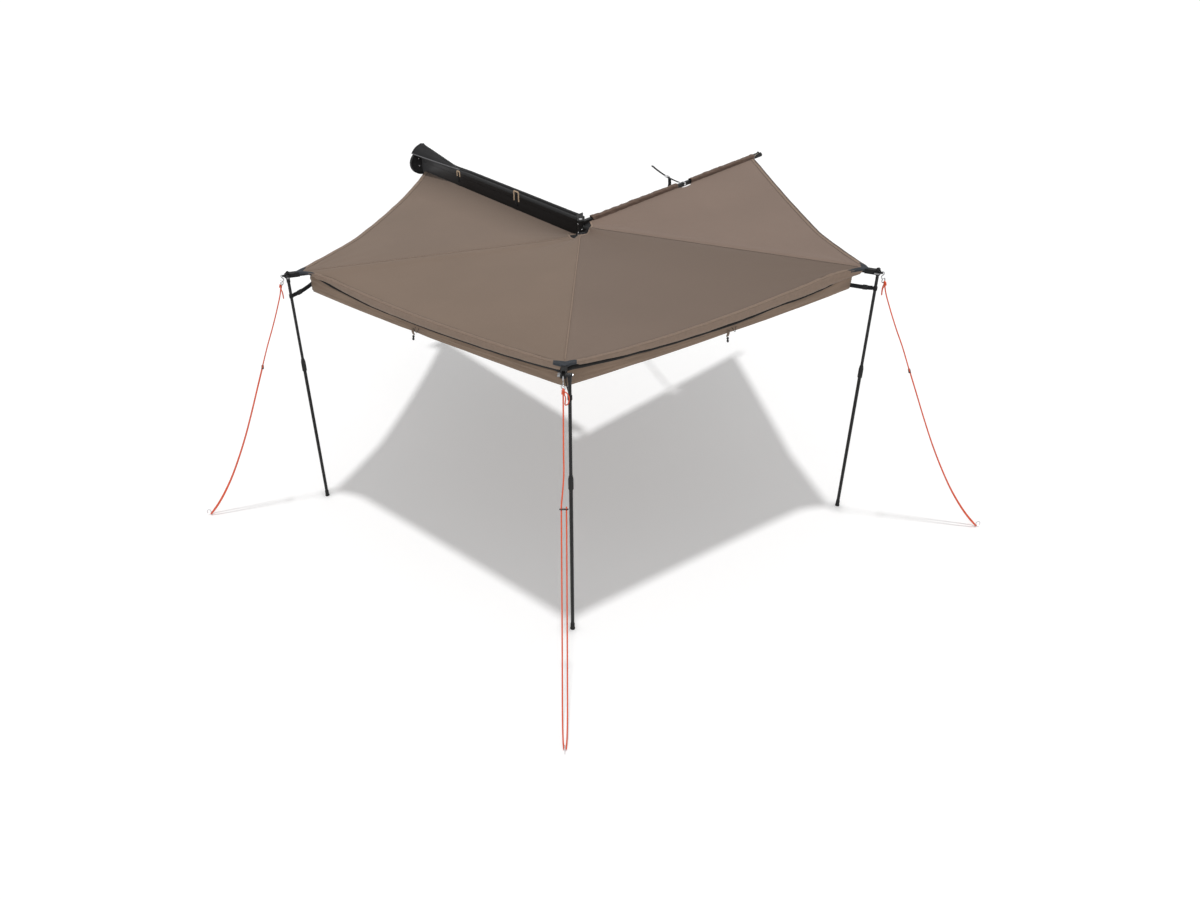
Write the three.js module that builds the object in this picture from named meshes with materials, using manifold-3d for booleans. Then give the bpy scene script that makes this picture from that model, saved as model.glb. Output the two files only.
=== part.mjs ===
// Vehicle side awning that swings round a hub at the rear end of its rail.
// Millimetres, +Z up, -X forward, -Y outward; the origin is the middle of the rail's mounting face.
import * as THREE from "three";
import { mergeVertices } from "three/addons/utils/BufferGeometryUtils.js";
import Module from "manifold-3d";

const wasm = await Module();
wasm.setup();

// Rail
const railLength = 1975;
const railDepth = 60;
const railHeight = 180;
const lipRadius = 18;
const footRadius = 5;
const edgeLineDrop = 45;
const edgeLineSize = 2.4;
const trackDrop = 131;
const trackRadius = 4.2;
const trackMouth = 3;
const slotLevels = [-55, 55];
const slotMouth = 9;
const slotWidth = 17;
const slotMouthDepth = 4;
const slotDepth = 11;
const railWall = 3;
const chamberSplit = 6;

// Front cap
const capPlate = 5;
const capHalfHeight = 105;
const capReach = 120;
const capLevel = 39;
const capRim = 20;
const capWall = 4;
const capScrewRadius = 6;
const capScrewHeight = 3.2;
const capScrewInset = 30;
const capScrewLevels = [9, 74];

// Cover
const coverOverhang = 7.5;
const hoodLength = 435;
const foldRun = 230;
const stripInset = 3.5;
const hoodOuter = [[-2, 96], [-3, 150], [-20, 187], [-50, 191], [-90, 178], [-121, 160], [-150, 126]];
const hoodInner = [[-5, 96], [-6, 148], [-22, 183], [-50, 187], [-88, 174], [-118, 157], [-147, 123.5]];
const foldOuter = [[-2, 92.5], [-6, 96], [-12, 98], [-22, 99], [-34, 98], [-46, 96], [-57, 93]];
const foldInner = [[-3, 90.6], [-8, 91], [-13, 93], [-22, 94.5], [-34, 94], [-46, 92.5], [-56, 90.5]];
const stripOuter = [[-2, 92.5], [-3, 99], [-7, 102], [-13, 102.5], [-19, 101], [-24, 98], [-27, 93]];
const stripInner = [[-3, 90.6], [-6, 90.6], [-10, 90.6], [-14, 90.6], [-18, 90.6], [-22, 90.6], [-26, 90.6]];
const coverSteps = [0, 0.12, 0.3, 0.5, 0.7, 0.85, 1];

// Closure straps
const strapGap = 0.4;
const loopThickness = 2.6;
const loopBand = 8;
const webThickness = 2.2;
const closures = [
  { name: "closure_strap_front", place: 539.5, width: 34, top: 84, foot: 38, webWidth: 16, webFoot: -12 },
  { name: "closure_strap_rear", place: 1293.5, width: 46, top: 108, foot: 34, webWidth: 22, webFoot: -10 },
];
const closureBuckle = 26;

// Hub
const hubReach = 94;
const pinY = -106;
const pinRadius = 8;
const pinHeadRadius = 12;
const pinHeadHeight = 6.4;
const pinNutRadius = 12.5;
const pinNutHeight = 8;
const stackPitch = 38;
const stackBase = -43;
const stackGap = 0.6;
const knuckleRadius = 22;
const boreClearance = 0.3;
const jawThickness = 8;
const jawRadius = 26;
const jawWrap = 190;
const endPlate = 6;
const endPlateMargin = 2;
const hubWebThickness = 6;
const hubWebInset = 30;
const hubWebReach = 50;
const hubBoltRadius = 7;
const hubBoltHeight = 5;
const hubBolts = [[-48, 62], [-48, 6], [-46, -66], [-14, -58]];
const hubBoltSides = 6;

// Arms
const armCount = 4;
const armSpread = 67.5;
const armTube = 25;
const armCorner = 3;
const armStart = 60;
const armRise = 50;
const armRadius = 1995;
const tipStagger = [11, -21, 11, 0];
const socketSize = 31;
const socketCorner = 5;
const socketStart = 14;
const socketEnd = 95;
const rivetRadius = 4;
const rivetHeight = 1.6;
const rivetPlaces = [55, 80];

// Tip brackets
const tipBack = 75;
const tipPocket = 22;
const tipHalfWidth = 15.8;
const tipFloor = 14;
const tipRoof = 15.5;
const earRadius = 10;
const earX = -2;
const earZ = 13;
const earStart = 20;
const tipNose = 20;
const slotHalf = 8.5;
const slotFloor = 5;
const lugX = 23;
const lugRadius = 11;
const lugTop = 1;
const lugBottom = -5;
const lugHole = 5.6;
const boltRadius = 4;
const pocketClearance = 0.3;

// Wing bolts
const headRadius = 7;
const headHeight = 5;
const wingHubRadius = 6.5;
const wingHubLength = 9;
const wingReach = 16;
const wingLength = 15;
const wingThickness = 3;
const seatGap = 0.4;

// Legs
const legOffset = 31;
const legHeadRadius = 12;
const legHeadWidth = 28;
const ground = -1752;
const upperRadius = 9.5;
const lowerRadius = 11;
const tubeClearance = 0.3;
const upperLength = 1000;
const lowerTop = 1150;
const lowerBottom = 12.6;
const lowerBoreFloor = 30;
const collarTop = 1170;
const collarTaper = 25;
const collarGrip = 65;
const collarRadius = 15;
const collarFlutes = 8;
const fluteRadius = 1.6;
const footHeight = 45;
const footBase = 15.2;
const footNeck = 13.2;
const footFloor = 12;
const footBand = 3;
const clampDrops = [135, 137, 125];
const clampHeight = 24;
const clampRadius = 13;
const clampLug = 16.5;
const clampLugWidth = 12;

// Canopy
const cloth = 2;
const clothLift = 1.5;
const clothGap = 0.5;
const ringRadius = 110;
const cornerInset = 133;
const sleeveCornerInset = 80;
const railCornerInset = 37.5;
const trackZ = -41;
const patchGap = 6;
const flatHalf = 14;
const patchHalf = 42;
const hemDrop = 2.6;
const freeHem = 7;
const hemBand = 60;
const panelSags = [25, 66, 66, 25];
const panelBows = [86, 0, 0, 50];
const panelColumns = 6;
const radialShares = [0, 0.08, 0.2, 0.35, 0.5, 0.65, 0.8, 0.92, 1];

// Sleeve, ring and tie strap
const sleeveClearance = 0.8;
const sleeveWall = 1.5;
const sleeveStart = 105;
const sleeveInset = 81;
const cutOutStart = 986;
const cutOutEnd = 1141;
const cutOutFloor = -9;
const ringPlace = 1070;
const bandWidth = 16;
const bandWall = 3;
const eyeRadius = 14;
const eyeWire = 2.6;
const eyeWireSides = 8;
const tieEnd = [560, 1164, 89];
const tieLead = 4.4;
const tieWidth = 20;
const tieThickness = 1.8;
const tieSag = 14;
const tieBuckleShare = 0.42;
const tieLookShare = 0.01;
const tieBuckleSize = [46, 27, 12];
const tieTail = 104;
const tieSteps = 16;

// Valance
const valanceHalf = 12;
const valanceHeight = 84;
const valanceTop = 74;
const valanceSag = 16;
const valanceInset = 14.35;
const valanceEndGap = 4;
const valanceSteps = 15;
const valancePinch = 2.5;
const pinchShares = [0.45, 0.42];

// Leg straps
const legStrapWidth = 22;
const legStrapThickness = 2;
const legStrapSag = 12;
const legStrapSteps = 8;
const legStrapLevel = -116;

// Guy lines
const ropeRadius = 2.5;
const ropeSides = 8;
const hookWire = 2;
const hookBend = 8;
const hookCrown = -2;
const hookStem = 36;
const hookLow = 9;
const pegs = [[-28, -2692], [3088, -2065], [3687, 1197]];
const pegAbove = 34;
const pegBelow = 165;
const pegLean = 34;
const pegWire = 3.2;
const pegHook = 11;
const sliderSize = [48, 15, 4];
const sliderHole = 3.5;
const strandGap = 27;
// Share of the way out, offset across in shares of the strand gap, and share of the way down.
const ropeRoute = [
  [0, 0, 0], [0.02, 0, 0.04], [0.07, 0, 0.103], [0.14, 0, 0.182], [0.205, 0, 0.25], [0.28, -0.5, 0.337],
  [0.29, -0.5, 0.348], [0.36, -0.5, 0.428], [0.46, -0.5, 0.543], [0.56, -0.5, 0.652], [0.66, -0.5, 0.75],
  [0.76, -0.5, 0.838], [0.86, -0.5, 0.912], [0.93, -0.44, 0.956], [0.975, -0.36, 0.98], [0.993, -0.27, 0.989],
  [1.004, -0.235, 0.9935], [1.0083, -0.15, 0.9945], [1.0104, 0, 0.995], [1.0083, 0.15, 0.9945],
  [1.004, 0.235, 0.9935], [0.993, 0.27, 0.989], [0.975, 0.36, 0.98],
  [0.93, 0.44, 0.956], [0.86, 0.5, 0.912], [0.76, 0.5, 0.838], [0.66, 0.5, 0.75], [0.56, 0.5, 0.652],
  [0.46, 0.5, 0.543], [0.36, 0.5, 0.428], [0.29, 0.5, 0.348], [0.278, 0.5, 0.335],
];
const sliderShares = [0.285, 0, 0.3425];
const sliderAheadShares = [0.005, 0, 0.0055];
const stepsPerPoint = 2;

// Elastic loop at the fourth corner
const elasticRadius = 1.5;
const elasticSides = 8;
const elasticStepsPerPoint = 4;
// Along the arm from its pivot at the tip, across it, and above its axis.
const elasticRoute = [[-96, -27, 16.1], [-80, -22, 16.8], [-57, -13, 17.5], [-23, -8, 17.4]];

// Rendering detail of round things
const fine = 24;
const medium = 18;
const coarse = 12;
const roundFoot = 16;
const capSegments = 18;
const rivetSides = 8;
const fluteSides = 5;
const weld = 0.001;

const radians = (degrees) => (degrees * Math.PI) / 180;
const vec = (x, y, z) => new THREE.Vector3(x, y, z);
const half = (size) => size / 2;
const mix = THREE.MathUtils.lerp;
const clamp01 = (value) => THREE.MathUtils.clamp(value, 0, 1);
const ease = (t) => t * t * (3 - 2 * t);

// Solids: every shape becomes one closed body that faces out.
function solid(geometry) {
  const loose = geometry.index ? geometry.toNonIndexed() : geometry;
  const bare = new THREE.BufferGeometry().setAttribute("position", loose.getAttribute("position").clone());
  const merged = mergeVertices(bare, weld);
  const index = merged.index.array;
  const kept = [];
  for (let i = 0; i < index.length; i += 3) {
    const [a, b, c] = [index[i], index[i + 1], index[i + 2]];
    if (a !== b && b !== c && c !== a) kept.push(a, b, c);
  }
  const make = (triangles) =>
    new wasm.Manifold(
      new wasm.Mesh({
        numProp: 3,
        vertProperties: merged.attributes.position.array,
        triVerts: new Uint32Array(triangles),
      }),
    );
  const body = make(kept);
  if (body.volume() >= 0) return body;
  for (let i = 0; i < kept.length; i += 3) [kept[i + 1], kept[i + 2]] = [kept[i + 2], kept[i + 1]];
  return make(kept);
}

function geometryOf(body) {
  const mesh = body.getMesh();
  const positions = new Float32Array(mesh.numVert * 3);
  for (let i = 0; i < mesh.numVert; i++) {
    positions.set(mesh.vertProperties.subarray(i * mesh.numProp, i * mesh.numProp + 3), i * 3);
  }
  const geometry = new THREE.BufferGeometry();
  geometry.setAttribute("position", new THREE.BufferAttribute(positions, 3));
  geometry.setIndex(new THREE.BufferAttribute(new Uint32Array(mesh.triVerts), 1));
  return geometry;
}

const fused = (...shapes) => geometryOf(shapes.map(solid).reduce((a, b) => a.add(b)));
const cutBy = (base, ...tools) => geometryOf(tools.map(solid).reduce((a, b) => a.subtract(b), solid(base)));

// Shapes
function block(x0, x1, y0, y1, z0, z1) {
  const box = new THREE.BoxGeometry(x1 - x0, y1 - y0, z1 - z0);
  return box.translate(half(x0 + x1), half(y0 + y1), half(z0 + z1));
}

function post(radius, z0, z1, sides = medium, x = 0, y = 0) {
  const cylinder = new THREE.CylinderGeometry(radius, radius, z1 - z0, sides);
  return cylinder.rotateX(radians(90)).translate(x, y, half(z0 + z1));
}

function axle(radius, y0, y1, sides = medium, x = 0, z = 0) {
  return new THREE.CylinderGeometry(radius, radius, y1 - y0, sides).translate(x, half(y0 + y1), z);
}

function stud(radius, x0, x1, sides, y, z) {
  const cylinder = new THREE.CylinderGeometry(radius, radius, x1 - x0, sides);
  return cylinder.rotateZ(radians(90)).translate(half(x0 + x1), y, z);
}

function turned(profile, sides = medium) {
  const points = profile.map(([r, h]) => new THREE.Vector2(r, h));
  points.push(points[0].clone());
  return new THREE.LatheGeometry(points, sides).rotateX(radians(90));
}

function roundedRect(width, height, radius) {
  const [w, h] = [half(width), half(height)];
  const shape = new THREE.Shape();
  shape.moveTo(w, radius - h);
  shape.lineTo(w, h - radius);
  shape.absarc(w - radius, h - radius, radius, 0, radians(90), false);
  shape.lineTo(radius - w, h);
  shape.absarc(radius - w, h - radius, radius, radians(90), radians(180), false);
  shape.lineTo(-w, radius - h);
  shape.absarc(radius - w, radius - h, radius, radians(180), radians(270), false);
  shape.lineTo(w - radius, -h);
  shape.absarc(w - radius, radius - h, radius, radians(270), radians(360), false);
  return shape;
}

// A section in Y and Z, run along X.
function bar(shape, x0, x1, curveSegments = 3) {
  const run = new THREE.ExtrudeGeometry(shape, { depth: x1 - x0, bevelEnabled: false, curveSegments });
  run.applyMatrix4(new THREE.Matrix4().makeBasis(vec(0, 1, 0), vec(0, 0, 1), vec(1, 0, 0)));
  return run.translate(x0, 0, 0);
}

// A profile in X and Z, run along Y.
function slab(shape, y0, y1, curveSegments = 4) {
  const run = new THREE.ExtrudeGeometry(shape, { depth: y1 - y0, bevelEnabled: false, curveSegments });
  return run.rotateX(radians(90)).translate(0, y1, 0);
}

// A plan in X and Y, run along Z.
function plate(shape, z0, z1, curveSegments = 12) {
  const run = new THREE.ExtrudeGeometry(shape, { depth: z1 - z0, bevelEnabled: false, curveSegments });
  return run.translate(0, 0, z0);
}

const outline = (points) => new THREE.Shape(points.map(([x, y]) => new THREE.Vector2(x, y)));

// A grid of columns and rows with an outer and an inner face: place(u, v, w) gives each corner.
function skin(uCount, vCount, place) {
  const box = new THREE.BoxGeometry(1, 1, 1, uCount, vCount, 1);
  const positions = box.attributes.position;
  for (let i = 0; i < positions.count; i++) {
    const u = Math.round((positions.getX(i) + 0.5) * uCount);
    const v = Math.round((positions.getY(i) + 0.5) * vCount);
    const w = positions.getZ(i) > 0 ? 1 : 0;
    const point = place(u, v, w);
    positions.setXYZ(i, point.x, point.y, point.z);
  }
  return box;
}

// A route through its points, as evenly along them as they are listed.
class Route extends THREE.CatmullRomCurve3 {
  getPointAt(t, target) {
    return this.getPoint(t, target);
  }

  getTangentAt(t, target) {
    return this.getTangent(t, target);
  }
}

function tube(points, radius, sides, perPoint = stepsPerPoint) {
  const section = outline(
    Array.from({ length: sides }, (_, i) => {
      const a = (i * 2 * Math.PI) / sides;
      return [radius * Math.cos(a), radius * Math.sin(a)];
    }),
  );
  const steps = (points.length - 1) * perPoint;
  return new THREE.ExtrudeGeometry(section, { steps, extrudePath: new Route(points), bevelEnabled: false });
}

// A flat strap between two points, hanging by its sag, as wide as asked along the side direction.
function strap(start, end, side, width, thickness, sag, steps) {
  const along = end.clone().sub(start);
  const up = vec().crossVectors(along, side).normalize();
  const across = side.clone().normalize();
  return skin(steps, 1, (u, v, w) => {
    const t = u / steps;
    const point = start.clone().addScaledVector(along, t);
    point.z -= sag * 4 * t * (1 - t);
    return point.addScaledVector(across, (v - 0.5) * width).addScaledVector(up, (w - 0.5) * thickness);
  });
}

const finishes = {
  rail: ["#3a3b3d", 0.5, 0.55],
  black: ["#17181a", 0.35, 0.5],
  steel: ["#b9bcc0", 0.9, 0.3],
  arm: ["#24262a", 0.5, 0.45],
  leg: ["#202226", 0.5, 0.4],
  plastic: ["#141416", 0, 0.5],
  rubber: ["#0f0f10", 0, 0.9],
  canopy: ["#82705f", 0, 0.95],
  trim: ["#222326", 0, 0.95],
  tan: ["#b39a7c", 0, 0.9],
  rope: ["#e8842c", 0, 0.85],
};

const awning = new THREE.Group();

function add(name, geometry, finish, parent = awning) {
  const [color, metalness, roughness] = finishes[finish];
  const mesh = new THREE.Mesh(geometry, new THREE.MeshStandardMaterial({ color, metalness, roughness }));
  mesh.name = name;
  mesh.geometry.computeVertexNormals();
  parent.add(mesh);
  return mesh;
}

// Places that several pieces share
const railFront = -half(railLength);
const railRear = half(railLength);
const railTop = half(railHeight);
const pinX = railRear + hubReach;
const tipRadii = tipStagger.map((step) => armRadius + step);
const cornerRadius = armRadius - cornerInset;
const sleeveCorner = armRadius - sleeveCornerInset;
const sleeveEnd = armRadius - sleeveInset;

// Rail

function railSection() {
  const shape = new THREE.Shape();
  const track = railTop - trackDrop;
  const line = railTop - edgeLineDrop;
  shape.moveTo(0, -railTop);
  for (const level of slotLevels) {
    shape.lineTo(0, level - half(slotMouth));
    shape.lineTo(-slotMouthDepth, level - half(slotMouth));
    shape.lineTo(-slotMouthDepth, level - half(slotWidth));
    shape.lineTo(-slotDepth, level - half(slotWidth));
    shape.lineTo(-slotDepth, level + half(slotWidth));
    shape.lineTo(-slotMouthDepth, level + half(slotWidth));
    shape.lineTo(-slotMouthDepth, level + half(slotMouth));
    shape.lineTo(0, level + half(slotMouth));
  }
  shape.lineTo(0, railTop);
  shape.lineTo(lipRadius - railDepth, railTop);
  shape.absarc(lipRadius - railDepth, railTop - lipRadius, lipRadius, radians(90), radians(180), false);
  shape.lineTo(-railDepth, line + half(edgeLineSize));
  shape.lineTo(edgeLineSize - railDepth, line);
  shape.lineTo(-railDepth, line - half(edgeLineSize));
  shape.lineTo(-railDepth, track + half(trackMouth));
  const bite = Math.asin(half(trackMouth) / trackRadius);
  const trackCentre = trackRadius * Math.cos(bite) + edgeLineSize - railDepth;
  shape.lineTo(edgeLineSize - railDepth, track + half(trackMouth));
  shape.absarc(trackCentre, track, trackRadius, Math.PI - bite, Math.PI + bite, true);
  shape.lineTo(-railDepth, track - half(trackMouth));
  shape.lineTo(-railDepth, footRadius - railTop);
  shape.absarc(footRadius - railDepth, footRadius - railTop, footRadius, radians(180), radians(270), false);
  shape.holes.push(...railChambers(track));
  return shape;
}

// Three hollow chambers that run the whole length, clear of the slots and the track.
function railChambers(track) {
  const front = railWall + edgeLineSize - railDepth;
  const back = -railWall;
  const deep = -slotDepth - railWall;
  const [low, high] = slotLevels;
  const slot = half(slotWidth) + railWall;
  const top = railTop - railWall;
  const trackSide = trackRadius + railWall;
  const upper = [
    [front, chamberSplit], [back, chamberSplit],
    [back, high - slot], [deep, high - slot], [deep, high + slot], [back, high + slot],
    [back, top], [lipRadius - railDepth, top], [half(lipRadius) - railDepth, top - railWall],
    [front, railTop - lipRadius],
  ];
  const middle = [
    [front, track + trackSide], [back, track + trackSide],
    [back, chamberSplit - railWall], [front, chamberSplit - railWall],
  ];
  const lower = [
    [front + railWall, -top], [back, -top], [back, low - slot], [deep, low - slot],
    [deep, track - trackSide - railWall], [front, track - trackSide - railWall],
    [front, footRadius - railTop],
  ];
  return [upper, middle, lower].map((points) => outline(points));
}

add("rail", bar(railSection(), railFront, railRear, 8), "rail");

// Front cap: a D-shaped plate with a rim that looks back along the rail, and two screw heads.
function capOutline(shrink) {
  const shape = new THREE.Shape();
  const reach = capReach - shrink;
  const rise = capHalfHeight - shrink;
  shape.moveTo(shrink - railDepth, capLevel - rise);
  shape.lineTo(shrink - railDepth, capLevel + rise);
  shape.absellipse(shrink - railDepth, capLevel, reach, rise, radians(90), radians(270), false);
  return shape;
}

function capGeometry() {
  const front = railFront - seatGap - capPlate;
  const back = railFront - seatGap;
  const pieces = [
    bar(capOutline(0), front, back, capSegments),
    block(front, back, -railDepth, 0, capLevel - capHalfHeight, railTop),
  ];
  const rim = cutBy(
    bar(capOutline(0), back - capWall, back + capRim, capSegments),
    bar(capOutline(capWall), back - 2 * capWall, back + 2 * capRim, capSegments),
    block(back - 2 * capWall, back + 2 * capRim, -railDepth - seatGap, railDepth, -railHeight, railHeight),
  );
  pieces.push(rim);
  const screwY = -railDepth - capScrewInset;
  for (const level of capScrewLevels) {
    pieces.push(stud(capScrewRadius, back - capWall, back + capScrewHeight, coarse, screwY, level));
  }
  return fused(...pieces);
}

add("front_cap", capGeometry(), "black");

// Cover: the hood over the cap falls to a folded strip along the rail.
function coverGeometry() {
  const hoodCount = coverSteps.length - 1;
  const coverFront = railFront - coverOverhang;
  const hoodEnd = coverFront + hoodLength;
  const stripStart = hoodEnd + foldRun;
  const stripEnd = railRear - stripInset;
  const stations = [
    ...coverSteps.map((t) => [mix(coverFront, hoodEnd, t), t, 0]),
    [stripStart, 1, 1],
    [stripEnd, 1, 1],
  ];
  const rows = hoodOuter.length - 1;
  return skin(rows, hoodCount + 2, (u, v, w) => {
    const [x, fall, fold] = stations[v];
    const [a, b, c] = w ? [hoodOuter, foldOuter, stripOuter] : [hoodInner, foldInner, stripInner];
    const y = mix(mix(a[u][0], b[u][0], fall), c[u][0], fold);
    const z = mix(mix(a[u][1], b[u][1], fall), c[u][1], fold);
    return vec(x, y, z);
  });
}

add("cover", coverGeometry(), "trim");

// Closure straps: a loop with a web hanging inside it, both on the rail's face.
for (const { name, place, width, top, foot, webWidth, webFoot } of closures) {
  const x = railFront + place;
  const face = -railDepth - strapGap;
  const window = half(width) - loopBand;
  const loop = cutBy(
    slab(roundedRect(width, top - foot, half(loopBand)), face - loopThickness, face),
    block(-window, window, face - railDepth, 0, foot - top, half(top - foot) - loopBand),
  );
  loop.translate(x, 0, half(top + foot));
  const side = half(webWidth);
  const web = block(x - side, x + side, face - webThickness, face, webFoot, top - half(loopBand));
  const buckle = block(
    x - half(closureBuckle),
    x + half(closureBuckle),
    face - 2 * loopThickness,
    face,
    webFoot + half(loopBand),
    webFoot + half(loopBand) + half(closureBuckle),
  );
  add(name, fused(loop, web, buckle), "tan");
}

// Hub bracket: an end plate on the rail, two jaws round the stack of knuckles and a web between them.
const stackTop = stackBase + armCount * stackPitch;
const jawLow = stackBase - half(stackGap);
const jawHigh = stackTop + half(stackGap);

function jaw(z0, z1) {
  const shape = new THREE.Shape();
  const root = railRear + seatGap;
  shape.moveTo(root, -endPlateMargin);
  shape.lineTo(root, -railDepth);
  const angle = Math.atan2(pinY - -railDepth, pinX - root);
  const start = angle - radians(90);
  shape.absarc(pinX, pinY, jawRadius, start, start + radians(jawWrap), false);
  return plate(shape, z0, z1);
}

function hubGeometry() {
  const root = railRear + seatGap;
  const inner = jawRadius + half(jawThickness);
  const [webBack, webFront] = [half(hubWebThickness) - hubWebInset, -half(hubWebThickness) - hubWebInset];
  const [bottom, top] = [jawLow - jawThickness, jawHigh + jawThickness];
  const pieces = [
    block(root, root + endPlate, -railDepth, -endPlateMargin, endPlateMargin - railTop, top),
    jaw(bottom, jawLow),
    jaw(jawHigh, top),
    block(root, root + hubWebReach, webFront, webBack, jawLow, jawHigh),
  ];
  const gusset = outline([
    [root, bottom],
    [root + inner, bottom],
    [root, bottom - inner],
  ]);
  pieces.push(slab(gusset, webFront, webBack));
  const boltEnd = root + endPlate + hubBoltHeight;
  for (const [y, z] of hubBolts) {
    pieces.push(stud(hubBoltRadius, root + half(endPlate), boltEnd, hubBoltSides, y, z));
  }
  const bore = post(pinRadius + boreClearance, jawLow - railDepth, jawHigh + railDepth, medium, pinX, pinY);
  return cutBy(fused(...pieces), bore);
}

add("hub_bracket", hubGeometry(), "black");

const headSeat = jawHigh + jawThickness;
const nutSeat = jawLow - jawThickness;
const pinGeometry = fused(
  post(pinRadius, nutSeat - pinNutHeight, headSeat + pinHeadHeight, medium, pinX, pinY),
  post(pinHeadRadius, headSeat + seatGap, headSeat + pinHeadHeight, medium, pinX, pinY),
  post(pinNutRadius, nutSeat - pinNutHeight, nutSeat - seatGap, hubBoltSides, pinX, pinY),
);
add("hub_pin", pinGeometry, "steel");

// Arms: azimuth, level and frame of each; local X runs out along the arm, local Y is its leg side.
const riseSlope = armRise / armRadius;
const tilt = Math.atan(riseSlope);
const azimuth = (i) => radians(armSpread * (i + 1));
const level = (i) => stackBase + half(stackPitch) + i * stackPitch;
const tipZ = (i) => level(i) + riseSlope * tipRadii[i];

function armFrame(i) {
  const group = new THREE.Group();
  group.position.set(pinX, pinY, 0);
  group.rotation.z = Math.PI + azimuth(i);
  awning.add(group);
  return group;
}

const outward = (i) => vec(-Math.cos(azimuth(i)), -Math.sin(azimuth(i)), 0);
const sideways = (i) => vec(Math.sin(azimuth(i)), -Math.cos(azimuth(i)), 0);

function armPoint(i, radius, side, z) {
  return vec(pinX, pinY, z).addScaledVector(outward(i), radius).addScaledVector(sideways(i), side);
}

function tilted(geometry, i) {
  return geometry.rotateY(-tilt).translate(0, 0, level(i));
}

function armGeometry(i) {
  const height = half(stackPitch - stackGap);
  const socket = bar(roundedRect(socketSize, socketSize, socketCorner), socketStart, socketEnd);
  const runEnd = tipRadii[i] - tipPocket - pocketClearance;
  const run = bar(roundedRect(armTube, armTube, armCorner), armStart, runEnd);
  const pieces = [socket, run];
  const rivetEnd = half(socketSize) + rivetHeight;
  for (const x of rivetPlaces) pieces.push(axle(rivetRadius, -rivetEnd, rivetEnd, rivetSides, x));
  const body = tilted(fused(...pieces), i);
  const knuckle = post(knuckleRadius, level(i) - height, level(i) + height, fine);
  const bore = post(pinRadius + boreClearance, level(i) - stackPitch, level(i) + stackPitch, medium);
  return cutBy(fused(body, knuckle), bore);
}

function tipOutline() {
  const shape = new THREE.Shape();
  shape.moveTo(-tipBack, -tipFloor);
  shape.lineTo(half(tipNose), -tipFloor);
  shape.quadraticCurveTo(tipNose, -tipFloor, tipNose, lugBottom);
  shape.lineTo(tipNose, lugTop);
  shape.quadraticCurveTo(tipNose - lugTop, half(tipFloor), half(tipNose), earZ);
  shape.absarc(earX, earZ, earRadius, radians(earStart), radians(180 - earStart), false);
  shape.lineTo(-tipPocket, tipRoof);
  shape.lineTo(-tipBack, tipRoof);
  return shape;
}

function tipGeometry(i) {
  const x = tipRadii[i];
  const pocket = half(armTube) + pocketClearance;
  const base = fused(
    slab(tipOutline(), -tipHalfWidth, tipHalfWidth),
    block(half(tipNose), lugX, -lugRadius, lugRadius, lugBottom, lugTop),
    post(lugRadius, lugBottom, lugTop, medium, lugX),
  );
  const made = cutBy(
    base,
    block(-2 * tipBack, -tipPocket, -pocket, pocket, -pocket, pocket),
    block(half(-tipNose), 2 * tipNose, -slotHalf, slotHalf, slotFloor, tipBack),
    axle(boltRadius + boreClearance, -tipBack, tipBack, medium),
    post(lugHole, -tipBack, tipBack, coarse, lugX),
  );
  return made.translate(x / Math.cos(tilt), 0, 0).rotateY(-tilt).translate(0, 0, level(i));
}

function wingBoltGeometry(i) {
  const near = legOffset + half(legHeadWidth) + seatGap;
  const far = -tipHalfWidth - seatGap;
  const wingShape = roundedRect(2 * wingReach, 3 * wingThickness, wingThickness);
  const wing = slab(wingShape, far - wingLength, far - half(wingThickness), 3);
  return fused(
    axle(boltRadius, far - wingHubLength, near + headHeight, coarse),
    axle(headRadius, near, near + headHeight, hubBoltSides),
    axle(wingHubRadius, far - wingHubLength, far, coarse),
    wing,
  ).translate(tipRadii[i], 0, tipZ(i));
}

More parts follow.
